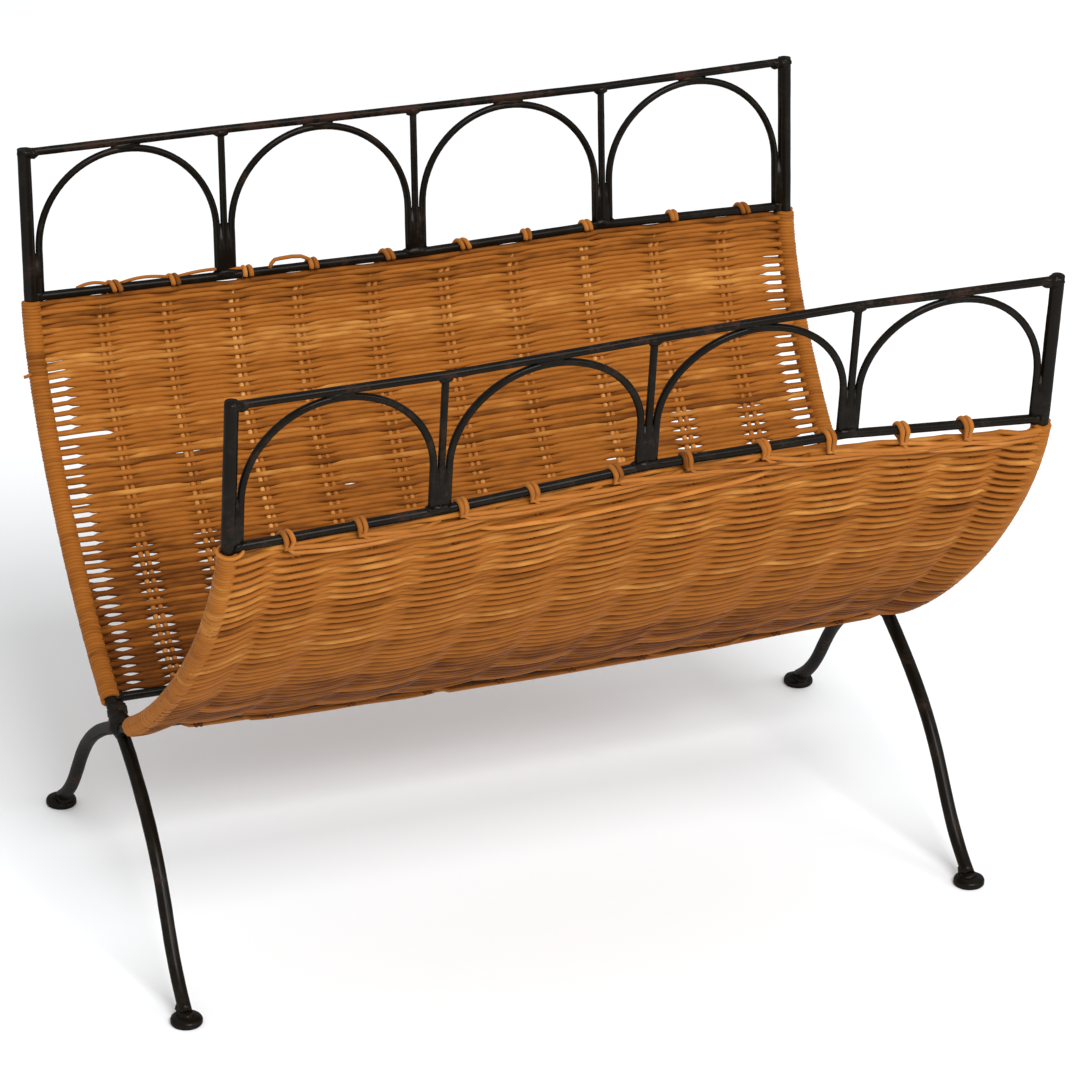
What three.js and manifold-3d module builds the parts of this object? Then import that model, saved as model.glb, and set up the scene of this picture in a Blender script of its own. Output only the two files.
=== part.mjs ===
// A mid-century magazine rack: a welded iron frame that carries two woven reed panels.
// Millimetres, +Z up. X runs along the rails, -Y is the front, and the origin is on the floor
// under the middle. A side is -1 for the front and 1 for the rear, an end is -1 for the left.
import * as THREE from 'three';
import { mergeVertices } from 'three/addons/utils/BufferGeometryUtils.js';
import Module from 'manifold-3d';

const wasm = await Module();
wasm.setup();

// The frame's main sizes, all to the centres of the rods
const span = 450; // between the left and right end rods
const basketRailHeight = 295;
const basketRailReach = 165; // from the middle plane out to a basket rail
const guardHeight = 84; // from the basket rails up to the top rails
const guardLean = 9; // and how far they lean out on the way
const topRailHeight = basketRailHeight + guardHeight;
const topRailReach = basketRailReach + guardLean;
const crossingHeight = 112; // where the two end rods cross
const footReach = 128;
const bayCount = 4;

// Rods
const endRodRadius = 3.75;
const topRailRadius = 2.3;
const basketRailRadius = 2.5;
const bottomRailRadius = 2.5;
const uprightRadius = 2;
const archWireRadius = 2;
const rodSides = 10;
const wireSides = 8;

// The bend of an end rod below its post: a belly to the crossing, then an arched leg
const crossingTilt = THREE.MathUtils.degToRad(25);
const bellyTopHandle = 61;
const bellyLowHandle = 79;
const legTopHandle = 108;
const legLowHandle = 62;
const toeTilt = THREE.MathUtils.degToRad(34);
const toeHeight = 5.2;
const toeShortOfFoot = 1; // the rod ends this far short of the foot's middle
const legSteps = 14;

// An arch's wire stands straight for this share of its height, then bends over
const archLegShare = 0.322;
const archSteps = 12;

// The bottom rails lie on the bellies, this far up from the crossing
const bottomRailFromCrossing = 20;

// Feet: forged round pads
const footRadius = 8.75;
const footHeight = 4.8;
const footEdgeHeight = 2.7;
const footSoleRadius = 8.2;
const footChamfer = 0.8;
const footShoulderRadius = 7;
const footShoulderHeight = 4.1;
const footSegments = 16;

// Reed: strands woven over double stakes that loop round the rails
const strandRadius = 1.25;
const strandsPerStake = 2;
const weaverRadius = 1.3; // the strands that run along the rails
const rowPitch = 2.75; // from one row of the weave to the next
const rowsPerBand = 2; // the solid shows neighbouring rows as one band
const channelWall = 0.7; // reed left over a stake's channel where a band passes behind it
const wrapThickness = 2.4; // reed round an end rod
const wrapFromCrossing = 12.8; // the wraps run on past the bottom rails, this near the crossing
const panelSteps = 10;
const stakeHookSteps = 5;
const turnFromWeave = 0.7; // a stake leaves the weave straight, then turns towards its rail
const tailDrop = 4.2; // from the rail's centre towards the weave
const tailOut = 2.8;
// Places of the stakes along the rails, as shares of the span
const frontStakeShares = [0.065, 0.153, 0.274, 0.358, 0.459, 0.549, 0.642, 0.725, 0.817, 0.898];
const rearStakeShares = [0.101, 0.179, 0.277, 0.361, 0.457, 0.556, 0.647, 0.725, 0.844, 0.937];

// Hand-made irregularity: how the rails bend up at the bay lines, and how far along X the
// crossings, the rails of each leaf and each pair of feet lie off the middle
const frontTopRise = 3.4;
const rearTopRise = -3.5;
const frontBasketRise = 11;
const rearBasketRise = -3.3;
const frontBottomRise = -4;
const rearBottomRise = -1.5;
const frontTopRiseShares = [-0.9, -0.8, 0.3, 1, 0.65];
const rearTopRiseShares = [-0.05, 0.15, 0.65, 1, 0.55];
const frontBasketRiseShares = [-0.15, 0.2, 0.9, 1, 0.3];
const rearBasketRiseShares = [-0.7, 0.05, 0.6, 0, 1];
const bottomRiseShares = [0, 0.75, 1, 0.75, 0];
const crossingShift = -1.6;
const frontBasketShift = 9.1;
const rearBasketShift = 0.6;
const frontTopShift = 9.1;
const rearTopShift = 1.6;
const frontFootShift = -3.9;
const rearFootShift = 1.6;
const footSplay = 2; // the feet stand this far outside the crossings

// Clearances
const seatGap = 0.3;
const channelGap = 0.35;
const cutOverrun = 20;

const frontSide = -1;
const rearSide = 1;
const sides = [frontSide, rearSide];
const ends = [-1, 1];
const sideName = (side) => (side === frontSide ? 'front' : 'rear');
const endName = (end) => (end < 0 ? 'left' : 'right');

const iron = (name) =>
  new THREE.MeshStandardMaterial({ name, color: 0x211e1b, roughness: 0.5, metalness: 0.6 });
const reed = (name, color) =>
  new THREE.MeshStandardMaterial({ name, color, roughness: 0.75, metalness: 0 });
const frameIron = iron('black_iron');
const wovenReed = reed('woven_reed', 0xb0702f);
const stakeReed = reed('stake_reed', 0xa5652c);

// A path through given points, so that every sweep has its rings exactly there
class PointPath extends THREE.Curve {
  constructor(points) {
    super();
    this.points = points;
  }

  getPoint(t, target = new THREE.Vector3()) {
    const place = t * (this.points.length - 1);
    const index = Math.min(Math.floor(place), this.points.length - 2);
    return target.lerpVectors(this.points[index], this.points[index + 1], place - index);
  }

  getSpacedPoints() {
    return this.points;
  }

  getTangentAt(u, target = new THREE.Vector3()) {
    const index = Math.round(u * (this.points.length - 1));
    const before = this.points[Math.max(index - 1, 0)];
    const here = this.points[index];
    const after = this.points[Math.min(index + 1, this.points.length - 1)];
    const arriving = here.clone().sub(before).normalize();
    const leaving = after.clone().sub(here).normalize();
    return target.addVectors(arriving, leaving).normalize();
  }
}

function sweep(shape, points) {
  const extrudePath = new PointPath(points);
  return new THREE.ExtrudeGeometry(shape, { steps: points.length - 1, extrudePath });
}

function roundSection(radius, count) {
  const corners = [];
  for (let i = 0; i < count; i += 1) {
    const angle = ((i + 1 / 2) / count) * Math.PI * 2;
    corners.push(new THREE.Vector2(radius * Math.cos(angle), radius * Math.sin(angle)));
  }
  return new THREE.Shape(corners);
}

function bandSection(low, high, halfThickness) {
  return new THREE.Shape([
    new THREE.Vector2(low, -halfThickness),
    new THREE.Vector2(high, -halfThickness),
    new THREE.Vector2(high, halfThickness),
    new THREE.Vector2(low, halfThickness),
  ]);
}

function solidOf(geometry) {
  const bare = geometry.clone();
  bare.deleteAttribute('normal');
  bare.deleteAttribute('uv');
  const merged = mergeVertices(bare);
  const vertProperties = Float32Array.from(merged.attributes.position.array);
  const triVerts = Uint32Array.from(merged.index.array);
  return new wasm.Manifold(new wasm.Mesh({ numProp: 3, vertProperties, triVerts }));
}

function geometryOf(solid) {
  const mesh = solid.getMesh();
  const geometry = new THREE.BufferGeometry();
  geometry.setAttribute('position', new THREE.BufferAttribute(mesh.vertProperties, 3));
  geometry.setIndex(new THREE.BufferAttribute(mesh.triVerts, 1));
  const flat = geometry.toNonIndexed();
  flat.computeVertexNormals();
  return flat;
}

// The belly of an end rod, drawn for the rear in the YZ plane, from the basket rail down
const postDirection = new THREE.Vector3(
  0,
  topRailReach - basketRailReach,
  topRailHeight - basketRailHeight,
).normalize();
const railPoint = new THREE.Vector3(0, basketRailReach, basketRailHeight);
const crossingPoint = new THREE.Vector3(0, 0, crossingHeight);
const risingFromCrossing = new THREE.Vector3(0, Math.cos(crossingTilt), Math.sin(crossingTilt));
const belly = new THREE.CubicBezierCurve3(
  railPoint,
  railPoint.clone().addScaledVector(postDirection, -bellyTopHandle),
  crossingPoint.clone().addScaledVector(risingFromCrossing, bellyLowHandle),
  crossingPoint,
);
const bellyLength = belly.getLength();
const onBelly = (distance) => belly.getPointAt(distance / bellyLength);
const bellyDown = (distance) => belly.getTangentAt(distance / bellyLength);

// The stakes' loops round a rail, and the edge of the weave just clear of them
const hookStep = Math.PI / 3;
const hookRadius = (railRadius) =>
  (railRadius + seatGap + strandRadius) / Math.cos(hookStep / 2);
const weaveEdgeFromRail = basketRailRadius + seatGap + 2 * strandRadius + seatGap;
const bottomRailDistance = bellyLength - bottomRailFromCrossing;
const weaveTop = weaveEdgeFromRail;
const weaveBottom = bottomRailDistance - weaveEdgeFromRail;
const weavePoints = [];
for (let i = 0; i <= panelSteps; i += 1) {
  weavePoints.push(onBelly(weaveTop + ((weaveBottom - weaveTop) * i) / panelSteps));
}
const bottomRailPoint = onBelly(bottomRailDistance);
const wrapPoints = [...weavePoints, onBelly(bellyLength - wrapFromCrossing)];

const toSide = (point, side, x = 0) => new THREE.Vector3(x, side * point.y, point.z);

// How far a rail's centre lies above its straight line at x, by its rises at the bay lines
function riseAt(rise, shares, x) {
  const place = THREE.MathUtils.clamp(x / span + 1 / 2, 0, 1) * bayCount;
  const index = Math.min(Math.floor(place), bayCount - 1);
  return rise * THREE.MathUtils.lerp(shares[index], shares[index + 1], place - index);
}

const leaves = {
  [frontSide]: {
    topRise: (x) => riseAt(frontTopRise, frontTopRiseShares, x),
    basketRise: (x) => riseAt(frontBasketRise, frontBasketRiseShares, x),
    bottomRise: (x) => riseAt(frontBottomRise, bottomRiseShares, x),
    topShift: frontTopShift,
    basketShift: frontBasketShift,
    footShift: rearFootShift, // the front leaf stands on the rear feet
  },
  [rearSide]: {
    topRise: (x) => riseAt(rearTopRise, rearTopRiseShares, x),
    basketRise: (x) => riseAt(rearBasketRise, rearBasketRiseShares, x),
    bottomRise: (x) => riseAt(rearBottomRise, bottomRiseShares, x),
    topShift: rearTopShift,
    basketShift: rearBasketShift,
    footShift: frontFootShift,
  },
};

// Moves a straight piece of one leaf to where the hand-bent rails and the leaning leaf put it
function settle(geometry, side) {
  const leaf = leaves[side];
  const { clamp, lerp } = THREE.MathUtils;
  const position = geometry.attributes.position;
  const legTop = crossingHeight - 2 * endRodRadius;
  for (let i = 0; i < position.count; i += 1) {
    const x = position.getX(i);
    const z = position.getZ(i);
    const shareFrom = (low, high) => clamp((z - low) / (high - low), 0, 1);
    const basketShare = shareFrom(bottomRailPoint.z, basketRailHeight);
    const topShare = shareFrom(basketRailHeight, topRailHeight);
    const footShare = 1 - shareFrom(footHeight, legTop);
    const bottomRise = (1 - footShare) * leaf.bottomRise(x);
    const basketRise = lerp(bottomRise, leaf.basketRise(x), basketShare);
    const basketShift = lerp(crossingShift, leaf.basketShift, basketShare);
    const footMove = leaf.footShift - crossingShift + Math.sign(x) * footSplay;
    position.setX(i, x + lerp(basketShift, leaf.topShift, topShare) + footShare * footMove);
    position.setZ(i, z + lerp(basketRise, leaf.topRise(x), topShare));
  }
  geometry.computeVertexNormals();
  return geometry;
}

const rack = new THREE.Group();
rack.name = 'magazine_rack';

function addPiece(name, geometry, material) {
  const mesh = new THREE.Mesh(geometry, material);
  mesh.name = name;
  rack.add(mesh);
}

// End rods: post, belly, crossing and arched leg in one bar
function endRodPoints(side, x) {
  const postTop = railPoint
    .clone()
    .addScaledVector(postDirection, (topRailHeight + topRailRadius - basketRailHeight) / postDirection.z);
  const toe = new THREE.Vector3(0, toeShortOfFoot - footReach, toeHeight);
  const fallingToFoot = new THREE.Vector3(0, -Math.cos(toeTilt), -Math.sin(toeTilt));
  const leg = new THREE.CubicBezierCurve3(
    crossingPoint,
    crossingPoint.clone().addScaledVector(risingFromCrossing, -legTopHandle),
    toe.clone().addScaledVector(fallingToFoot, -legLowHandle),
    toe,
  );
  const points = [postTop, railPoint, ...wrapPoints, ...leg.getSpacedPoints(legSteps)];
  return points.map((point) => toSide(point, side, x));
}

function footGeometry(grow) {
  const profile = [
    [0, -grow],
    [footSoleRadius + grow, -grow],
    [footRadius + grow, footChamfer],
    [footRadius + grow, footEdgeHeight],
    [footShoulderRadius + grow, footShoulderHeight + grow],
    [0, footHeight + grow],
  ].map(([radius, height]) => new THREE.Vector2(radius, height));
  return new THREE.LatheGeometry(profile, footSegments).rotateX(Math.PI / 2);
}

// Half of the crossing, cut from a rod where the other leaf's rod passes through it
function lapCutter(side, x, keptDirection) {
  const width = 2 * (endRodRadius + seatGap);
  const depth = endRodRadius + cutOverrun;
  const box = new THREE.BoxGeometry(depth, 2 * cutOverrun, width);
  box.rotateX(side * crossingTilt * -1);
  const inset = depth / 2 - seatGap / 2;
  box.translate(x - keptDirection * inset, 0, crossingHeight);
  return solidOf(box);
}

for (const end of ends) {
  for (const side of sides) {
    const x = (end * span) / 2;
    const bar = solidOf(sweep(roundSection(endRodRadius, rodSides), endRodPoints(side, x)));
    const lap = lapCutter(side, x, side * end);
    const foot = footGeometry(seatGap).translate(x, -side * footReach, 0);
    const rod = bar.subtract(lap).subtract(solidOf(foot));
    const name = `${endName(end)}_${sideName(side)}_post_${sideName(-side)}_leg`;
    addPiece(name, settle(geometryOf(rod), side), frameIron);
    const pad = footGeometry(0).translate(x, -side * footReach, 0);
    addPiece(`${sideName(-side)}_${endName(end)}_foot`, settle(pad, side), frameIron);
  }
}

// Rails, butted between the end rods
function railGeometry(radius, point, side) {
  const length = span - 2 * (endRodRadius + seatGap);
  const rail = new THREE.CylinderGeometry(radius, radius, length, wireSides, bayCount);
  // the inner divisions are set on the bay lines, where the uprights stand
  const position = rail.attributes.position;
  for (let i = 0; i < position.count; i += 1) {
    const place = position.getY(i);
    if (Math.abs(place) < length / 2 - seatGap) position.setY(i, (place / length) * span);
  }
  rail.rotateZ(-Math.PI / 2);
  return rail.translate(0, side * point.y, point.z);
}

const topRailPoint = new THREE.Vector3(0, topRailReach, topRailHeight);
for (const side of sides) {
  const rails = [
    ['top_rail', topRailRadius, topRailPoint],
    ['basket_rail', basketRailRadius, railPoint],
    ['bottom_rail', bottomRailRadius, bottomRailPoint],
  ];
  for (const [name, radius, point] of rails) {
    const rail = railGeometry(radius, point, side);
    addPiece(`${sideName(side)}_${name}`, settle(rail, side), frameIron);
  }
}

// Uprights and arches stand in the leaf's upper frame, between its two rails
function framePoint(side, x, height) {
  const share = (height - basketRailHeight) / (topRailHeight - basketRailHeight);
  return new THREE.Vector3(x, side * THREE.MathUtils.lerp(basketRailReach, topRailReach, share), height);
}

const bay = span / bayCount;
const standHeight = basketRailHeight + basketRailRadius + seatGap;
const hangHeight = topRailHeight - topRailRadius - seatGap;

function archPoints(side, index) {
  const besideUpright = uprightRadius + archWireRadius + seatGap;
  const besidePost = endRodRadius + archWireRadius + seatGap;
  const low = -span / 2 + index * bay + (index === 0 ? besidePost : besideUpright);
  const high = -span / 2 + (index + 1) * bay - (index === bayCount - 1 ? besidePost : besideUpright);
  const halfWidth = (high - low) / 2;
  const crownHeight = hangHeight - archWireRadius;
  const springHeight = THREE.MathUtils.lerp(standHeight, crownHeight, archLegShare);
  const points = [framePoint(side, low, standHeight)];
  for (let i = 0; i <= archSteps; i += 1) {
    const angle = Math.PI * (1 - i / archSteps);
    const height = springHeight + (crownHeight - springHeight) * Math.sin(angle);
    points.push(framePoint(side, (low + high) / 2 + halfWidth * Math.cos(angle), height));
  }
  points.push(framePoint(side, high, standHeight));
  return points;
}

for (const side of sides) {
  for (let i = 1; i < bayCount; i += 1) {
    const x = -span / 2 + i * bay;
    const footAndHead = [framePoint(side, x, standHeight), framePoint(side, x, hangHeight)];
    const upright = sweep(roundSection(uprightRadius, wireSides), footAndHead);
    addPiece(`${sideName(side)}_upright_${i}`, settle(upright, side), frameIron);
  }
  for (let i = 0; i < bayCount; i += 1) {
    const arch = sweep(roundSection(archWireRadius, wireSides), archPoints(side, i));
    addPiece(`${sideName(side)}_arch_${i + 1}`, settle(arch, side), frameIron);
  }
}

// Stakes: double strands through the weave, looped over the basket rail and under the bottom one
function hookPoints(center, towardsWeave, outward, railRadius) {
  const place = (along, out) =>
    center.clone().addScaledVector(towardsWeave, along).addScaledVector(outward, out);
  const radius = hookRadius(railRadius);
  const points = [place(weaveEdgeFromRail - turnFromWeave, 0)];
  for (let i = 1; i <= stakeHookSteps; i += 1) {
    const angle = i * hookStep;
    points.push(place(radius * Math.cos(angle), radius * Math.sin(angle)));
  }
  points.push(place(tailDrop, -tailOut));
  return points;
}

const outwardOf = (down) => new THREE.Vector3(0, -down.z, down.y);
const downAtTop = bellyDown(0);
const downAtBottom = bellyDown(bottomRailDistance);
const stakePoints = [
  ...hookPoints(railPoint, downAtTop, outwardOf(downAtTop), basketRailRadius).reverse(),
  ...weavePoints,
  ...hookPoints(
    bottomRailPoint,
    downAtBottom.clone().negate(),
    outwardOf(downAtBottom),
    bottomRailRadius,
  ),
];

const stakeHalfWidth = strandsPerStake * strandRadius;
const stakePlaces = (side) =>
  (side === frontSide ? frontStakeShares : rearStakeShares).map((share) => (share - 1 / 2) * span);

for (const side of sides) {
  stakePlaces(side).forEach((x, index) => {
    const section = bandSection(-stakeHalfWidth, stakeHalfWidth, strandRadius);
    const stake = sweep(section, stakePoints.map((point) => toSide(point, side, x)));
    const name = `${sideName(side)}_stake_${String(index + 1).padStart(2, '0')}`;
    addPiece(name, settle(stake, side), stakeReed);
  });
}

// Woven panels: a curved sheet of bands that pass over and under the stakes, with a channel for
// each stake, wrapped round both end rods
const proudFace = strandRadius + 2 * weaverRadius;
const shyFace = strandRadius + channelGap + channelWall;

// The sheet's columns stand at the end rods, at the stakes and halfway between them
function columnPlaces(side) {
  const anchors = [-span / 2, ...stakePlaces(side), span / 2];
  const places = [anchors[0]];
  for (let i = 1; i < anchors.length; i += 1) {
    places.push((anchors[i - 1] + anchors[i]) / 2, anchors[i]);
  }
  return places;
}

// How far out a face lies, where face is 1 on the outside of the leaf and -1 on its inside
function faceOffset(column, row, face) {
  const midBay = column % 2 === 1;
  if (midBay) return face * weaverRadius;
  const bandIsOutside = (row + column / 2) % 2 === 0;
  return face * (bandIsOutside === face > 0 ? proudFace : shyFace);
}

function sheetGeometry(side) {
  const drop = weaveBottom - weaveTop;
  const places = columnPlaces(side);
  const columns = places.length - 1;
  const rows = Math.round(drop / (rowPitch * rowsPerBand));
  const sheet = new THREE.BoxGeometry(span, drop, 2 * proudFace, columns, rows, 1);
  const path = new PointPath(weavePoints);
  const outwards = weavePoints.map((_, i) => outwardOf(path.getTangentAt(i / panelSteps)));
  const outwardPath = new PointPath(outwards);
  const position = sheet.attributes.position;
  for (let i = 0; i < position.count; i += 1) {
    const column = Math.round((position.getX(i) / span + 1 / 2) * columns);
    const row = Math.round((position.getY(i) / drop + 1 / 2) * rows);
    // on the front, which is mirrored, the sheet is turned over to keep its faces outward
    const face = side * Math.sign(position.getZ(i));
    const place = path.getPoint(row / rows);
    place.addScaledVector(outwardPath.getPoint(row / rows), faceOffset(column, row, face));
    const bent = toSide(place, side, places[column]);
    position.setXYZ(i, bent.x, bent.y, bent.z);
  }
  return sheet;
}

// A path with its first and last stretch drawn out straight, for a cut right through
function drawnOut(points, further) {
  const last = points.length - 1;
  const beyond = (from, to) => to.clone().add(to.clone().sub(from).setLength(further));
  return [
    beyond(points[1], points[0]),
    ...points.slice(1, last),
    beyond(points[last - 1], points[last]),
  ];
}

function panelGeometry(side) {
  const settled = (section, points, x) =>
    solidOf(settle(sweep(section, points.map((point) => toSide(point, side, x))), side));
  let panel = solidOf(settle(sheetGeometry(side), side));
  const halfWidth = stakeHalfWidth + channelGap;
  const channel = bandSection(-halfWidth, halfWidth, strandRadius + channelGap);
  for (const x of stakePlaces(side)) {
    panel = panel.subtract(settled(channel, drawnOut(weavePoints, weaveEdgeFromRail / 2), x));
  }
  const wrap = roundSection(endRodRadius + wrapThickness, rodSides);
  const bore = roundSection(endRodRadius + seatGap, rodSides);
  for (const end of ends) {
    const x = (end * span) / 2;
    panel = panel.add(settled(wrap, wrapPoints, x));
    panel = panel.subtract(settled(bore, drawnOut(wrapPoints, seatGap), x));
  }
  // the wraps leave room for the bottom rail's ends
  const railRoom = railGeometry(bottomRailRadius + seatGap, bottomRailPoint, side);
  return geometryOf(panel.subtract(solidOf(settle(railRoom, side))));
}

for (const side of sides) {
  addPiece(`${sideName(side)}_woven_panel`, panelGeometry(side), wovenReed);
}

export default rack;
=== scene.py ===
import math

import bmesh
import bpy
import numpy as np
from mathutils import Color, Matrix, Vector, noise


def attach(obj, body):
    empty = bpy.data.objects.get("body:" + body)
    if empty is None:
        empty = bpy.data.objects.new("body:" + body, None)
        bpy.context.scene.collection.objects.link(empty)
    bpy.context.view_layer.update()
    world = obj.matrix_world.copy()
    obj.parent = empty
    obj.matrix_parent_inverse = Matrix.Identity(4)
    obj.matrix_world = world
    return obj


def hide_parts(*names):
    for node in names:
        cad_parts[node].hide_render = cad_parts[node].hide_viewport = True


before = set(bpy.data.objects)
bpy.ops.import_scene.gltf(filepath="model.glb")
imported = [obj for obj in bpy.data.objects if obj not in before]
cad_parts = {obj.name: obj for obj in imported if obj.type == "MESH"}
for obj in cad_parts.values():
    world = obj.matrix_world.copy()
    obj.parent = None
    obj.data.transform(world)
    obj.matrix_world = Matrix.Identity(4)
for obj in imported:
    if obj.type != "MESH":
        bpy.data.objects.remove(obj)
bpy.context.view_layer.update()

MM = 0.001
LEFT, RIGHT = -1, 1
FRONT, REAR = -1, 1
SIDE_NAMES = {FRONT: "front", REAR: "rear"}
END_NAMES = {LEFT: "left", RIGHT: "right"}
FULL_TURN = 2 * math.pi

# The frame's sizes, as the solids have them, to the centres of the rods
SPAN = 450 * MM
BASKET_RAIL_HEIGHT = 295 * MM
BASKET_RAIL_REACH = 165 * MM
GUARD_HEIGHT = 84 * MM
GUARD_LEAN = 9 * MM
TOP_RAIL_HEIGHT = BASKET_RAIL_HEIGHT + GUARD_HEIGHT
TOP_RAIL_REACH = BASKET_RAIL_REACH + GUARD_LEAN
CROSSING_HEIGHT = 112 * MM
FOOT_REACH = 128 * MM
BAY_COUNT = 4
BAY = SPAN / BAY_COUNT

END_ROD_RADIUS = 3.75 * MM
TOP_RAIL_RADIUS = 2.3 * MM
BASKET_RAIL_RADIUS = 2.5 * MM
BOTTOM_RAIL_RADIUS = 2.5 * MM
UPRIGHT_RADIUS = 2 * MM
ARCH_WIRE_RADIUS = 2 * MM

CROSSING_TILT = math.radians(25)
BELLY_TOP_HANDLE = 61 * MM
BELLY_LOW_HANDLE = 79 * MM
LEG_TOP_HANDLE = 108 * MM
LEG_LOW_HANDLE = 62 * MM
TOE_TILT = math.radians(34)
TOE_HEIGHT = 5.2 * MM
TOE_SHORT_OF_FOOT = 1 * MM
BOTTOM_RAIL_FROM_CROSSING = 20 * MM
ARCH_LEG_SHARE = 0.322
SEAT_GAP = 0.3 * MM

FOOT_RADIUS = 8.75 * MM
FOOT_HEIGHT = 4.8 * MM

# Hand-made irregularity, as the solids have it
CROSSING_SHIFT = -1.6 * MM
FOOT_SPLAY = 2 * MM
BOTTOM_RISE_SHARES = (0, 0.75, 1, 0.75, 0)

# Reed. The two reeds of a stake lie this far to each side of its middle.
REED_RADIUS = 1.3 * MM
STAKE_REED_RADIUS = 1.25 * MM
STAKE_RADII = {FRONT: 1.25 * MM, REAR: 1.5 * MM}
STAKE_APART = {FRONT: 1.3 * MM, REAR: 1.85 * MM}
TIE_RADIUS = 1.45 * MM
TIE_APART = 1.45 * MM


def unit(*parts):
    vector = np.array(parts, float)
    return vector / np.linalg.norm(vector)


def bezier(p0, p1, p2, p3, count):
    t = np.linspace(0, 1, count)[:, None]
    return (1 - t) ** 3 * p0 + 3 * (1 - t) ** 2 * t * p1 + 3 * (1 - t) * t**2 * p2 + t**3 * p3


def running_length(points):
    steps = np.linalg.norm(np.diff(points, axis=0), axis=1)
    return np.concatenate([[0], np.cumsum(steps)])


def spaced(points, count):
    """The same line with its points at equal distances."""
    length = running_length(points)
    places = np.linspace(0, length[-1], count)
    return np.stack([np.interp(places, length, points[:, i]) for i in range(points.shape[1])], -1)


# The belly of an end rod in its leaf's own plane: how far out, and how high
POST_DIRECTION = unit(GUARD_LEAN, GUARD_HEIGHT)
RAIL_POINT = np.array([BASKET_RAIL_REACH, BASKET_RAIL_HEIGHT])
CROSSING_POINT = np.array([0, CROSSING_HEIGHT])
RISING = np.array([math.cos(CROSSING_TILT), math.sin(CROSSING_TILT)])
BELLY_SAMPLES = 1600
BELLY = bezier(
    RAIL_POINT,
    RAIL_POINT - BELLY_TOP_HANDLE * POST_DIRECTION,
    CROSSING_POINT + BELLY_LOW_HANDLE * RISING,
    CROSSING_POINT,
    BELLY_SAMPLES,
)
BELLY_ALONG = running_length(BELLY)
BELLY_LENGTH = BELLY_ALONG[-1]
BELLY_SLOPE = np.gradient(BELLY, BELLY_ALONG, axis=0)
BOTTOM_RAIL_DISTANCE = BELLY_LENGTH - BOTTOM_RAIL_FROM_CROSSING


def smooth_share(value):
    value = np.clip(value, 0, 1)
    return value * value * (3 - 2 * value)


def lerp(low, high, share):
    return low + (high - low) * share


class Leaf:
    """One leaf of the rack. It turns places on the flat leaf into places in the frame."""

    def __init__(self, side, top, basket, bottom_rise, shifts, ties, columns):
        self.side = side
        self.name = SIDE_NAMES[side]
        self.top_rise, self.top_shares = top
        self.basket_rise, self.basket_shares = basket
        self.bottom_rise = bottom_rise
        self.top_shift, self.basket_shift, self.foot_shift = shifts
        self.ties = [(share - 1 / 2) * SPAN for share in ties]
        self.columns = [(share - 1 / 2) * SPAN for share in columns]

    def rise(self, height, shares, x):
        place = np.clip(x / SPAN + 1 / 2, 0, 1) * BAY_COUNT
        return height * np.interp(place, range(BAY_COUNT + 1), shares)

    def settle(self, x, y, z):
        """Where the hand-bent rails and the leaning leaf put a point of the straight leaf."""
        x, y, z = np.broadcast_arrays(np.asarray(x, float), y, z)
        leg_top = CROSSING_HEIGHT - 2 * END_ROD_RADIUS
        bottom_z = np.interp(BOTTOM_RAIL_DISTANCE, BELLY_ALONG, BELLY[:, 1])
        basket = np.clip((z - bottom_z) / (BASKET_RAIL_HEIGHT - bottom_z), 0, 1)
        top = np.clip((z - BASKET_RAIL_HEIGHT) / GUARD_HEIGHT, 0, 1)
        foot = 1 - np.clip((z - FOOT_HEIGHT) / (leg_top - FOOT_HEIGHT), 0, 1)
        low_rise = (1 - foot) * self.rise(self.bottom_rise, BOTTOM_RISE_SHARES, x)
        rise = lerp(low_rise, self.rise(self.basket_rise, self.basket_shares, x), basket)
        rise = lerp(rise, self.rise(self.top_rise, self.top_shares, x), top)
        shift = lerp(CROSSING_SHIFT, self.basket_shift, basket)
        shift = lerp(shift, self.top_shift, top)
        foot_move = self.foot_shift - CROSSING_SHIFT + np.sign(x) * FOOT_SPLAY
        return np.stack([x + shift + foot * foot_move, self.side * y, z + rise], -1)

    def weave(self, x, distance, out):
        """A point by its place along the rails, down the belly and outwards from it."""
        x, distance, out = np.broadcast_arrays(np.asarray(x, float), distance, out)
        y = np.interp(distance, BELLY_ALONG, BELLY[:, 0])
        z = np.interp(distance, BELLY_ALONG, BELLY[:, 1])
        slope_y = np.interp(distance, BELLY_ALONG, BELLY_SLOPE[:, 0])
        slope_z = np.interp(distance, BELLY_ALONG, BELLY_SLOPE[:, 1])
        above = np.minimum(distance, 0)
        y = y + above * slope_y - slope_z * out
        z = z + above * slope_z + slope_y * out
        return self.settle(x, y, z)

    def guard(self, x, height, out=0.0):
        """A point in the upper frame, between the basket rail and the top rail."""
        share = (np.asarray(height, float) - BASKET_RAIL_HEIGHT) / GUARD_HEIGHT
        y = lerp(BASKET_RAIL_REACH, TOP_RAIL_REACH, share) + out
        return self.settle(x, y, height)


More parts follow.
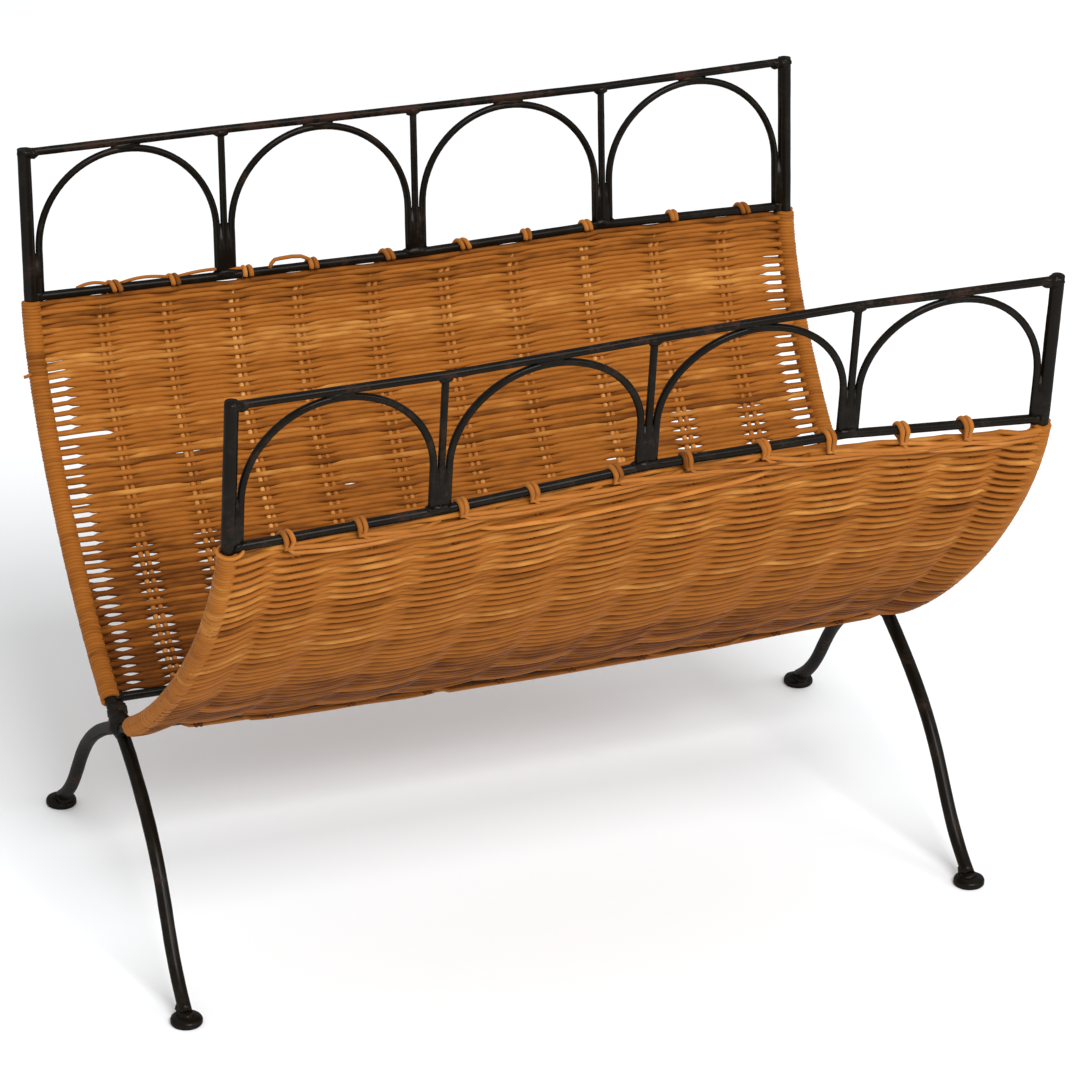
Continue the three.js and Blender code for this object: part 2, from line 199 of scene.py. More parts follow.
front_leaf = Leaf(
    FRONT,
    top=(3.4 * MM, (-0.9, -0.8, 0.3, 1, 0.65)),
    basket=(11 * MM, (-0.15, 0.2, 0.9, 1, 0.3)),
    bottom_rise=-4 * MM,
    shifts=(9.1 * MM, 9.1 * MM, 1.6 * MM),
    ties=(0.065, 0.153, 0.274, 0.358, 0.459, 0.549, 0.642, 0.725, 0.817, 0.898),
    columns=(0.085, 0.175, 0.278, 0.376, 0.471, 0.563, 0.655, 0.748, 0.835, 0.92),
)
rear_leaf = Leaf(
    REAR,
    top=(-3.5 * MM, (-0.05, 0.15, 0.65, 1, 0.55)),
    basket=(-3.3 * MM, (-0.7, 0.05, 0.6, 0, 1)),
    bottom_rise=-1.5 * MM,
    shifts=(1.6 * MM, 0.6 * MM, -3.9 * MM),
    ties=(0.101, 0.179, 0.277, 0.361, 0.457, 0.556, 0.647, 0.725, 0.844, 0.937),
    columns=(0.088, 0.171, 0.257, 0.34, 0.437, 0.532, 0.626, 0.723, 0.817, 0.909),
)
leaves = (front_leaf, rear_leaf)


def new_object(name, data):
    made = bpy.data.objects.new(name, data)
    bpy.context.scene.collection.objects.link(made)
    return made


def new_mesh(name, shape):
    """A mesh of a bmesh, which is freed."""
    mesh = bpy.data.meshes.new(name)
    shape.to_mesh(mesh)
    shape.free()
    return mesh


def set_inputs(node, values):
    for label, value in values.items():
        node.inputs[label].default_value = value


# Node groups that several finishes share

FLOAT = "NodeSocketFloat"
VECTOR = "NodeSocketVector"
COLOR = "NodeSocketColor"


def new_group(name, inputs, outputs):
    group = bpy.data.node_groups.new(name, "ShaderNodeTree")
    for label, kind, value in inputs:
        socket = group.interface.new_socket(name=label, in_out="INPUT", socket_type=kind)
        if value is not None:
            socket.default_value = value
    for label, kind in outputs:
        group.interface.new_socket(name=label, in_out="OUTPUT", socket_type=kind)
    return group


class Nodes:
    """Short ways to add and join nodes in one tree."""

    def __init__(self, tree):
        self.tree = tree

    def add(self, kind, **settings):
        node = self.tree.nodes.new(kind)
        for key, value in settings.items():
            setattr(node, key, value)
        return node

    def join(self, source, target):
        self.tree.links.new(source, target)

    def put(self, socket, value):
        if isinstance(value, bpy.types.NodeSocket):
            self.join(value, socket)
        else:
            socket.default_value = value

    def math(self, operation, *values):
        node = self.add("ShaderNodeMath", operation=operation)
        for socket, value in zip(node.inputs, values):
            self.put(socket, value)
        return node.outputs[0]

    def sway(self, value, size, base):
        """The base, plus the swing of a noise value about its middle."""
        return self.math("MULTIPLY_ADD", value, size, self.math("ADD", base, -size / 2))

    def mix(self, share, first, second):
        node = self.add("ShaderNodeMix", data_type="RGBA", blend_type="MIX")
        self.put(node.inputs["Factor"], share)
        colours = [s for s in node.inputs if s.type == "RGBA"]
        self.put(colours[0], first)
        self.put(colours[1], second)
        return [s for s in node.outputs if s.type == "RGBA"][0]

    def noise(self, vector, scale, detail=2.0, roughness=0.5):
        node = self.add("ShaderNodeTexNoise")
        self.put(node.inputs["Vector"], vector)
        self.put(node.inputs["Scale"], scale)
        self.put(node.inputs["Detail"], detail)
        self.put(node.inputs["Roughness"], roughness)
        return node.outputs["Fac"]

    def stretch(self, vector, scale):
        node = self.add("ShaderNodeVectorMath", operation="MULTIPLY")
        self.put(node.inputs[0], vector)
        self.put(node.inputs[1], scale)
        return node.outputs[0]

    def ramp(self, value, low, high):
        node = self.add("ShaderNodeMapRange", clamp=True, interpolation_type="SMOOTHSTEP")
        self.put(node.inputs["Value"], value)
        self.put(node.inputs["From Min"], low)
        self.put(node.inputs["From Max"], high)
        return node.outputs["Result"]


def colour(*parts):
    """A colour given as the eye reads it, from 0 to 255, for a socket."""
    seen = Color([part / 255 for part in parts])
    return (*seen.from_srgb_to_scene_linear(), 1.0)


# A skin puts out these, for a material's own shader
SKIN_OUTPUTS = (("Color", COLOR), ("Roughness", FLOAT), ("Height", FLOAT))

# How fine the patterns of reed are along and across a strand, and how much each sways the tone
FIBRE_SCALES, FIBRE_TONE = (120, 3200, 3200), 0.22
PATCH_SCALES, PATCH_TONE = (48, 60, 60), 0.64
STAIN_SCALES, STAIN_LEVELS = (90, 400, 400), (0.6, 0.78)
BLOTCH_SCALE, BLOTCH_TONE = 26, 0.2
# The reed's colour runs from dark over middle to light as the tone passes these
DARK_TONE, MIDDLE_TONE, LIGHT_TONE = 0.02, 0.5, 1.0
REED_ROUGHNESS, FIBRE_ROUGHNESS, STAIN_ROUGHNESS = 0.44, 0.16, 0.15
PATCH_HEIGHT = 0.6
REED_BUMP = {"Strength": 0.35, "Distance": 0.25 * MM}
REED_FINISH = {"Specular IOR Level": 0.08}


def make_reed_group():
    """Colour, roughness and height of peeled reed, by a straightened place in each strand."""
    group = new_group(
        "Reed Skin",
        [
            ("Place", VECTOR, None),
            ("Spot", VECTOR, None),
            ("Tone", FLOAT, 0.5),
            ("Light", COLOR, colour(208, 149, 74)),
            ("Middle", COLOR, colour(155, 92, 31)),
            ("Dark", COLOR, colour(94, 49, 10)),
            ("Stain", COLOR, colour(72, 34, 10)),
            ("Stain Amount", FLOAT, 0.35),
        ],
        SKIN_OUTPUTS,
    )
    n = Nodes(group)
    inputs = n.add("NodeGroupInput").outputs
    out = n.add("NodeGroupOutput").inputs
    # long fibres, then slower patches along each strand
    fibres = n.noise(n.stretch(inputs["Place"], FIBRE_SCALES), 1.0, 2.0, 0.6)
    patches = n.noise(n.stretch(inputs["Place"], PATCH_SCALES), 1.0, 2.0, 0.5)
    blotches = n.noise(inputs["Spot"], BLOTCH_SCALE, 3.0, 0.55)
    tone = n.sway(patches, PATCH_TONE, inputs["Tone"])
    tone = n.sway(blotches, BLOTCH_TONE, tone)
    tone = n.sway(fibres, FIBRE_TONE, tone)
    low = n.mix(n.ramp(tone, DARK_TONE, MIDDLE_TONE), inputs["Dark"], inputs["Middle"])
    skin = n.mix(n.ramp(tone, MIDDLE_TONE, LIGHT_TONE), low, inputs["Light"])
    stain = n.noise(n.stretch(inputs["Place"], STAIN_SCALES), 1.0, 3.0, 0.6)
    stain = n.math("MULTIPLY", n.ramp(stain, *STAIN_LEVELS), inputs["Stain Amount"])
    n.join(n.mix(stain, skin, inputs["Stain"]), out["Color"])
    rough = n.math("MULTIPLY_ADD", fibres, FIBRE_ROUGHNESS, REED_ROUGHNESS)
    n.join(n.math("MULTIPLY_ADD", stain, STAIN_ROUGHNESS, rough), out["Roughness"])
    n.join(n.math("MULTIPLY_ADD", patches, PATCH_HEIGHT, fibres), out["Height"])
    return group


# How fine the hammer dents, the paint's skin, its thin places and its fine wear are
DENT_SCALE = 260
SKIN_SCALE = 900
BROAD_SCALE = 55
FINE_SCALE = 420
THIN_EDGE, THIN_LEVELS = 0.3, (0.45, 0.72)
WORN_EDGE, WORN_LEVELS = 0.35, (0.6, 0.74)
WEAR_STRENGTH, WEAR_START = 0.4, -0.115
SKIN_ROUGHNESS, WORN_ROUGHNESS = 0.14, 0.3
SKIN_HEIGHT, WORN_HEIGHT = 0.3, -0.25
IRON_BUMP_DISTANCE = 0.6 * MM
# all of the paint's gloss is the coat's
IRON_FINISH = {"Specular IOR Level": 0.0, "Coat Weight": 0.14, "Coat IOR": 1.6}


def make_iron_group():
    """Hammered black paint with brown wear: colour, roughness and height by place."""
    group = new_group(
        "Painted Iron",
        [
            ("Spot", VECTOR, None),
            ("Paint", COLOR, colour(18, 14, 9)),
            ("Thin Paint", COLOR, colour(31, 26, 20)),
            ("Rust", COLOR, colour(46, 28, 20)),
            ("Wear", FLOAT, 0.3),
            ("Gloss Roughness", FLOAT, 0.15),
        ],
        SKIN_OUTPUTS,
    )
    n = Nodes(group)
    inputs = n.add("NodeGroupInput").outputs
    out = n.add("NodeGroupOutput").inputs
    dents = n.noise(inputs["Spot"], DENT_SCALE, 2.0, 0.5)
    skin = n.noise(inputs["Spot"], SKIN_SCALE, 2.0, 0.6)
    broad = n.noise(inputs["Spot"], BROAD_SCALE, 4.0, 0.65)
    fine = n.noise(inputs["Spot"], FINE_SCALE, 3.0, 0.6)
    thin = n.ramp(n.sway(fine, THIN_EDGE, broad), *THIN_LEVELS)
    wear = n.math("MULTIPLY_ADD", inputs["Wear"], WEAR_STRENGTH, WEAR_START)
    worn = n.math("ADD", n.sway(fine, WORN_EDGE, broad), wear)
    worn = n.ramp(worn, *WORN_LEVELS)
    base = n.mix(thin, inputs["Paint"], inputs["Thin Paint"])
    n.join(n.mix(worn, base, inputs["Rust"]), out["Color"])
    rough = n.math("MULTIPLY_ADD", skin, SKIN_ROUGHNESS, inputs["Gloss Roughness"])
    n.join(n.math("MULTIPLY_ADD", worn, WORN_ROUGHNESS, rough), out["Roughness"])
    height = n.math("MULTIPLY_ADD", skin, SKIN_HEIGHT, dents)
    n.join(n.math("MULTIPLY_ADD", worn, WORN_HEIGHT, height), out["Height"])
    return group


reed_group = make_reed_group()
iron_group = make_iron_group()


def new_material(name):
    material = bpy.data.materials.new(name)
    material.use_nodes = True
    tree = material.node_tree
    tree.nodes.clear()
    n = Nodes(tree)
    shader = n.add("ShaderNodeBsdfPrincipled")
    n.join(shader.outputs["BSDF"], n.add("ShaderNodeOutputMaterial").inputs["Surface"])
    return material, n, shader


def skin_material(name, group, relief, finish, values):
    """A material whose shader takes its colour, roughness and relief from a skin group."""
    material, n, shader = new_material(name)
    skin = n.add("ShaderNodeGroup", node_tree=group)
    spot = n.add("ShaderNodeTexCoord")
    n.join(spot.outputs["Object"], skin.inputs["Spot"])
    set_inputs(skin, {label.replace("_", " ").title(): value for label, value in values.items()})
    set_inputs(shader, finish)
    n.join(skin.outputs["Color"], shader.inputs["Base Color"])
    n.join(skin.outputs["Roughness"], shader.inputs["Roughness"])
    bump = n.add("ShaderNodeBump")
    set_inputs(bump, relief)
    n.join(skin.outputs["Height"], bump.inputs["Height"])
    n.join(bump.outputs["Normal"], shader.inputs["Normal"])
    return material, n, shader, skin


def reed_material(name, **values):
    material, n, _, skin = skin_material(name, reed_group, REED_BUMP, REED_FINISH, values)
    place = n.add("ShaderNodeAttribute", attribute_name="strand_place")
    tone = n.add("ShaderNodeAttribute", attribute_name="strand_tone")
    n.join(place.outputs["Vector"], skin.inputs["Place"])
    n.join(tone.outputs["Fac"], skin.inputs["Tone"])
    return material


def iron_material(name, bump_strength=0.5, **values):
    relief = {"Strength": bump_strength, "Distance": IRON_BUMP_DISTANCE}
    material, n, shader, skin = skin_material(name, iron_group, relief, IRON_FINISH, values)
    n.join(skin.outputs["Roughness"], shader.inputs["Coat Roughness"])
    return material


woven_reed = reed_material("woven_reed")
stake_reed = reed_material("stake_reed", light=colour(216, 156, 86), middle=colour(164, 100, 40))
border_reed = reed_material("border_reed", light=colour(190, 122, 54), middle=colour(154, 90, 32))
low_border_reed = reed_material(
    "low_border_reed", light=colour(178, 114, 54), middle=colour(146, 88, 38), stain_amount=0.5
)
black_iron = iron_material("black_iron")
worn_iron = iron_material("worn_iron", wear=0.52)
weld_iron = iron_material("weld_iron", bump_strength=0.8, wear=0.22)


# Tubes: strands and rods are lines with a radius at every point

DEFAULT_TONE = 0.5
# Where each strand of a piece reads the reed's pattern: the next one's place is this far along
# and this far across
PATTERN_ALONG = SPAN
PATTERN_ACROSS = 10 * REED_RADIUS
# A random draw stays within this many of its usual sizes
DRAW_LIMIT = 1.6


class Tube:
    """A line, with a radius and a tone of reed at every point."""

    def __init__(self, points, radius, tone=DEFAULT_TONE):
        self.points = np.asarray(points, float)
        self.radius = np.broadcast_to(np.asarray(radius, float), (len(self.points),))
        self.tone = np.broadcast_to(np.asarray(tone, float), (len(self.points),))


def close_ends(mesh):
    """Flat caps on the open ends of a mesh of tubes."""
    shape = bmesh.new()
    shape.from_mesh(mesh)
    rims = [edge for edge in shape.edges if edge.is_boundary]
    caps = bmesh.ops.holes_fill(shape, edges=rims, sides=0)["faces"]
    for cap in caps:
        cap.smooth = False
    bmesh.ops.recalc_face_normals(shape, faces=caps)
    shape.to_mesh(mesh)
    shape.free()


def tube_piece(name, tubes, sides, material, replaced=()):
    """One mesh of many round tubes, each with its place and tone for the reed finish."""
    curve = bpy.data.curves.new(name, "CURVE")
    curve.dimensions = "3D"
    curve.bevel_mode = "ROUND"
    # each point's radius scales a depth of 1 m, and a resolution of 0 gives four sides
    curve.bevel_depth = 1.0
    curve.bevel_resolution = (sides - 4) // 2
    for tube in tubes:
        spline = curve.splines.new("POLY")
        count = len(tube.points)
        spline.points.add(count - 1)
        flat = np.concatenate([tube.points, np.ones((count, 1))], axis=1)
        spline.points.foreach_set("co", flat.ravel())
        spline.points.foreach_set("radius", tube.radius)
        spline.use_smooth = True
    holder = new_object(name + "_line", curve)
    graph = bpy.context.evaluated_depsgraph_get()
    mesh = bpy.data.meshes.new_from_object(holder.evaluated_get(graph))
    bpy.data.objects.remove(holder)
    bpy.data.curves.remove(curve)
    mesh.name = name
    close_ends(mesh)
    ring_count = sum(len(tube.points) for tube in tubes)
    assert len(mesh.vertices) == ring_count * sides, (name, len(mesh.vertices), ring_count * sides)
    places = []
    tones = []
    angles = np.arange(sides) * FULL_TURN / sides
    for index, tube in enumerate(tubes):
        along = running_length(tube.points)
        around = np.stack([np.cos(angles), np.sin(angles)], -1)[None] * tube.radius[:, None, None]
        place = np.zeros((len(along), sides, 3))
        place[..., 0] = along[:, None] + index * PATTERN_ALONG
        place[..., 1:] = around
        place[..., 1] += index * PATTERN_ACROSS
        places.append(place.reshape(-1, 3))
        tones.append(np.repeat(tube.tone, sides))
    attribute = mesh.attributes.new("strand_place", "FLOAT_VECTOR", "POINT")
    attribute.data.foreach_set("vector", np.concatenate(places).ravel())
    attribute = mesh.attributes.new("strand_tone", "FLOAT", "POINT")
    attribute.data.foreach_set("value", np.concatenate(tones))
    add_piece(name, mesh, material, replaced)


def add_piece(name, mesh, material, replaced=()):
    """Adds a finished mesh to the rack's one body, in one material."""
    mesh.materials.clear()
    mesh.materials.append(material)
    mesh.polygons.foreach_set("material_index", np.zeros(len(mesh.polygons), np.int32))
    piece = new_object(name, mesh)
    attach(piece, "root")
    if replaced:
        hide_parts(*replaced)


def add_shape(name, shape, material, replaced=()):
    """Adds a bmesh of iron as a smooth piece, and frees it."""
    for face in shape.faces:
        face.smooth = True
    add_piece(name, new_mesh(name, shape), material, replaced)


def seeded(*words):
    """Random draws that are always the same for the same words."""
    total = 0
    for word in words:
        for letter in str(word):
            total = (total * 131 + ord(letter)) % 2**31
    return np.random.default_rng(total)


def wander(rng, places, step, size):
    """A smooth random value along a line, with a new draw every step."""
    first, last = places.min(), places.max()
    knots = np.arange(first - step, last + 2 * step, step)
    limit = DRAW_LIMIT * size
    draws = np.clip(rng.normal(0, size, len(knots)), -limit, limit)
    index = np.clip(((places - knots[0]) / step).astype(int), 0, len(knots) - 2)
    share = smooth_share((places - knots[index]) / step)
    return lerp(draws[index], draws[index + 1], share)


# The weave

WEAVE_TOP = 3.9 * MM
WEAVE_BOTTOMS = {FRONT: BELLY_LENGTH - 24.5 * MM, REAR: BELLY_LENGTH - 24 * MM}
# how far apart the rows lie, at these shares of the way down the belly
PITCH_PLACES = (0, 0.15, 0.25, 0.4, 0.6, 1)
ROW_PITCHES = {
    FRONT: np.array((2.5, 2.55, 2.85, 3.0, 3.0, 3.0)) * MM,
    REAR: np.array((2.65, 2.6, 2.7, 2.85, 2.75, 2.6)) * MM,
}
# the rows end inside the wraps, this far out and, at the rear, short of the rod's middle; on the
# front they run on round the wrap to these angles, at these shares of the way out
ROW_END_OUT = {FRONT: 3.9 * MM, REAR: 2.2 * MM}
ROW_END_SHORT = 2.5 * MM
ROW_TUCK_ANGLES = np.radians((28, 58, 80))
ROW_TUCK_SHARES = np.array((0.98, 0.88, 0.66))
# how far a row stands out where it passes a stake, at these shares of the way down the belly
HUMP_PLACES = (0, 0.25, 0.5, 1)
HUMPS = {FRONT: np.array((1.15, 1.35, 1.25, 1.1)) * MM, REAR: np.array((1.4, 1.4, 1.4, 1.4)) * MM}
# on the front a row crosses from side to side within this share of the way between two stakes
CROSSING_SHARE = 0.78
# at the rear it lies flat behind or before a stake, then falls back over this reach
HUMP_FLAT = 1.6 * MM
HUMP_REACH = 10.5 * MM
END_HUMP_REACH = 14 * MM
# a row is this much thicker than its share of the panel, swells where it is beaten tight against
# a stake, and is thinner where it is slack
ROW_FILL = {FRONT: 1.22, REAR: 1.27}
TIGHT_SWELL = {FRONT: 0.06, REAR: 0.02}
SLACK_SHRINK = 0.16
# where a row has points, measured from the stakes and the wraps on both sides of it
NEAR_STAKE = np.array((2.4, 4.6, 7.0, 9.6, 12.6)) * MM
NEAR_WRAP = np.array((5.5, 8.5, 11.5, 14.2, 16.8, 19.4, 22.0)) * MM
WEAVE_STEP = 5.5 * MM
# a few rows together are of one reed, with its own tone and size, and each row has its own tone
SAME_REED_ROWS = (2, 7)
WEAVER_TONE = {FRONT: 0.5, REAR: 0.46}
WEAVER_TONE_DRAW = 0.06
WEAVER_SIZE_DRAW = 0.025
ROW_TONE_DRAW = 0.08
# how a row wanders: a new draw every so far, and its usual size
ROW_MOVE_WANDER = (38 * MM, 0.11 * MM)
ROW_OUT_WANDER = (30 * MM, 0.13 * MM)
ROW_SIZE_WANDER = (60 * MM, 0.025)
ROW_STEADY_END = 12 * MM
# painted shade: the rows further down are darker towards the bottom, where less light reaches the
# belly, and most of all in the rear's shaded left corner; each starts at a share of the belly and
# is full this much further down
LOWER_PAINTED_SHADE = {FRONT: 0.34, REAR: 0.1}
LOWER_START, LOWER_FADE = 0.4, 0.4
CORNER_PAINTED_SHADE = 0.32
CORNER_START, CORNER_FADE = 0.45, 0.4
CORNER_SIDE, CORNER_SIDE_FADE = 0.15, 0.25
# how far from a wrap or stake two rows stay drawn together, and the stretch where they part
PAIR_REACH_AT_WRAP = 18.5 * MM
PAIR_REACH_AT_STAKE = 9.5 * MM
PAIR_CLOSING = 4.5 * MM
# low at the rear's left wrap the slots start further in
SLOT_START_LOW = 11 * MM
SLOT_START_PLACE, SLOT_START_FADE = 0.5, 0.3
SLOT_START_REACH = 0.15
# one slot at that wrap is longer
LONG_SLOT_LEVEL = 77.5 * MM
LONG_SLOT_REACH = 38.5 * MM
# how far a row sags where it bulges, except near the top and bottom of the panel
ROW_SAG = {FRONT: 1.7 * MM, REAR: 0.5 * MM}
SAG_FADE = 45 * MM
# where a row passes behind a stake it also slips down the belly, by these shares of its depth,
# so that the weave closes to the eye
SLIP_PLACES = (0, 0.1, 0.2, 0.5, 1)
SLIP_SHARES = {FRONT: (0.63, 1.05, 0.9, 0.3, 0.1), REAR: (0.36, 0.09, -0.06, -0.32, -0.75)}


def row_levels(leaf):
    levels = [WEAVE_TOP]
    weave_bottom = WEAVE_BOTTOMS[leaf.side]
    while levels[-1] < weave_bottom:
        pitch = np.interp(levels[-1] / BELLY_LENGTH, PITCH_PLACES, ROW_PITCHES[leaf.side])
        levels.append(levels[-1] + pitch)
    levels = np.array(levels) - WEAVE_TOP
    return WEAVE_TOP + levels * (weave_bottom - WEAVE_TOP) / levels[-1]


# how softly a parting closes to its sides, and over what distance up and down
PARTING_SOFTNESS = 1.6
PARTING_FADE = 6 * MM


class Parting:
    """A place where the rows stand apart and light comes through."""

    def __init__(self, x, level, half_width, opening):
        self.x = x
        self.level = level
        self.half_width = half_width
        self.opening = opening

    def move(self, x, level):
        away = np.abs(x - self.x) / (self.half_width * PARTING_SOFTNESS)
        share = np.minimum((1 - smooth_share(away)) * PARTING_SOFTNESS, 1)
        side = np.where(level > self.level, 1, -1)
        fade = np.exp(-np.abs(level - self.level) / PARTING_FADE)
        return side * self.opening / 2 * share * fade


# How far the two rows at an anchor are drawn together, from 0 to 1. Anchor 0 is the left wrap, 1
# to 10 are the stakes and 11 is the right wrap; the others' rows are evenly spaced. Each has its
# looseness at the top, what is added further down, the share of the belly where that starts, the
# share that it takes, and the share where the whole ends again.
NO_END = 2.0
LOOSE_ANCHORS = {
    FRONT: {
        0: (0.2, 0.0, 0.0, 0.06, NO_END),
        11: (0.4, 0.0, 0.0, 0.06, 0.16),
    },
    REAR: {
        0: (0.05, 0.85, 0.1, 0.12, NO_END),
        1: (0.0, 0.72, 0.53, 0.08, NO_END),
        2: (0.0, 0.55, 0.52, 0.08, 0.8),
        9: (0.0, 0.55, 0.4, 0.08, NO_END),
        10: (0.0, 0.55, 0.4, 0.08, NO_END),
        11: (0.05, 0.75, 0.09, 0.06, NO_END),
    },
}
# some rows are beaten tighter than their neighbours, so that the slots come in groups
SLACK_MIDDLE = 1.1
SLACK_WANDER = (7 * MM, 0.5)


def looseness(leaf, anchor, level):
    if anchor not in LOOSE_ANCHORS[leaf.side]:
        return 0.0
    depth = level / BELLY_LENGTH
    top, added, start, fade, end = LOOSE_ANCHORS[leaf.side][anchor]
    loose = top + added * smooth_share((depth - start) / fade)
    return loose * smooth_share((end - depth) / fade)


def slackness(leaf, anchor, levels):
    rng = seeded("slack", leaf.name, anchor)
    return np.clip(SLACK_MIDDLE + wander(rng, levels, *SLACK_WANDER), 0, 1)


def row_offsets(leaf, row, x, level, pitch, anchors, slack):
    """How far a row lies from its even place, and how far out, along x."""
    last = len(anchors) - 1
    room_below = WEAVE_BOTTOMS[leaf.side] - level
    sag_room = smooth_share(level / SAG_FADE) * smooth_share(room_below / SAG_FADE)
    hump = np.interp(level / BELLY_LENGTH, HUMP_PLACES, HUMPS[leaf.side])
    heights = []
    for index in range(last + 1):
        size = ROW_END_OUT[leaf.side] if index in (0, last) else hump
        heights.append((-1) ** (row + index + 1) * size)
    if leaf.side == FRONT:
        place = np.interp(x, anchors, range(last + 1))
        low = np.minimum(place.astype(int), last - 1)
        share = smooth_share((place - low - 1 / 2) / CROSSING_SHARE + 1 / 2)
        wave = lerp(np.take(heights, low), np.take(heights, low + 1), share)
    else:
        wave = np.zeros_like(x)
        for index in range(last + 1):
            reach = END_HUMP_REACH if index in (0, last) else HUMP_REACH
            away = np.maximum(np.abs(x - anchors[index]) - HUMP_FLAT, 0)
            wave += heights[index] * (1 - smooth_share(away / reach))
    # rows sag where they bulge over or under a stake, and rise where they cross between two
    move = ROW_SAG[leaf.side] * sag_room * np.minimum(np.abs(wave) / hump, 1)
    slip = np.interp(level / BELLY_LENGTH, SLIP_PLACES, SLIP_SHARES[leaf.side])
    move += 2 * slip * np.maximum(wave * leaf.side, 0)
    swell = np.ones_like(x)
    for index in range(last + 1):
        loose = looseness(leaf, index, level) * slack[index]
        # rows pair up one way at even anchors and the other way at odd ones
        at_wrap = index in (0, last)
        up = 1 if (row + index + at_wrap) % 2 == 0 else -1
        reach = PAIR_REACH_AT_WRAP if at_wrap else PAIR_REACH_AT_STAKE
        slot_level = level + (1 / 2 - row % 2) * pitch
        if leaf.side == REAR and index == 0 and abs(slot_level - LONG_SLOT_LEVEL) < pitch:
            reach = LONG_SLOT_REACH
        away = np.abs(x - anchors[index])
        if leaf.side == REAR and index == 0:
            depth = level / BELLY_LENGTH
            start = SLOT_START_LOW * smooth_share((depth - SLOT_START_PLACE) / SLOT_START_FADE)
            reach += SLOT_START_REACH * start
            loose = loose * smooth_share((away - start) / PAIR_CLOSING + 1 / 2)
        near = smooth_share((reach - away) / PAIR_CLOSING)
        move += up * loose * pitch / 2 * near
        swell += lerp(TIGHT_SWELL[leaf.side], -SLACK_SHRINK, loose) * near
    return move, wave, swell


# in mm: where along the rails, at what level, half how wide and how far open
PARTING_SIZES = {
    FRONT: (
        (-168, 233, 16, 1.7),
        (-112, 239, 14, 1.9),
        (-46, 235, 18, 1.8),
        (22, 241, 15, 1.9),
        (92, 236, 17, 1.7),
        (150, 240, 12, 1.9),
        (-102, 22, 5, 1.0),
        (83, 21, 7, 1.6),
        (158, 13, 5, 1.3),
    ),
    REAR: (
        (-148, 95, 8, 1.1),
        (-60, 127, 3, 1.6),
        (96, 135, 5, 1.9),
        (108, 9, 4, 1.5),
    ),
}
PARTINGS = {
    side: [Parting(*(size * MM for size in sizes)) for sizes in table]
    for side, table in PARTING_SIZES.items()
}
# at its right end the front weave hangs lower below its rail, from a start along it and over a
# rise to nearly the end; the gap fades out down the panel
TOP_GAP = 2.6 * MM
TOP_GAP_START = 62 * MM
TOP_GAP_RISE = 25 * MM
TOP_GAP_END = 14 * MM
TOP_GAP_FADE = 9 * MM


def top_gap(leaf, x):
    if leaf.side == REAR:
        return 0
    share = smooth_share((x - TOP_GAP_START) / TOP_GAP_RISE)
    return TOP_GAP * share * smooth_share((SPAN / 2 - x) / TOP_GAP_END)


def row_places(anchors):
    """Points along a row: close together by the stakes, further apart between them."""
    places = {anchors[-1]}
    for low, high in zip(anchors, anchors[1:]):
        places.add(low)
        room = (high - low) / 2 - WEAVE_STEP / 3
        after = NEAR_WRAP if low == anchors[0] else NEAR_STAKE
        before = NEAR_WRAP if high == anchors[-1] else NEAR_STAKE
        after = after[after < room]
        before = before[before < room]
        places.update(low + after)
        places.update(high - before)
        first = low + after[-1]
        last = high - before[-1]
        between = max(round((last - first) / WEAVE_STEP), 1)
        places.update(np.linspace(first, last, between + 1)[1:-1])
    return np.array(sorted(places))


def round_the_wraps(leaf, x, level, out, radius):
    """A row whose ends run on round the wraps and sink into them."""
    reach = abs(out[0]) * ROW_TUCK_SHARES
    around = SPAN / 2 + reach * np.sin(ROW_TUCK_ANGLES)
    inward = reach * np.cos(ROW_TUCK_ANGLES)
    x = np.concatenate([-around[::-1], x, around])
    out = np.concatenate([np.sign(out[0]) * inward[::-1], out, np.sign(out[-1]) * inward])
    level = np.pad(level, len(reach), mode="edge")
    return leaf.weave(x, level, out), np.pad(radius, len(reach), mode="edge")


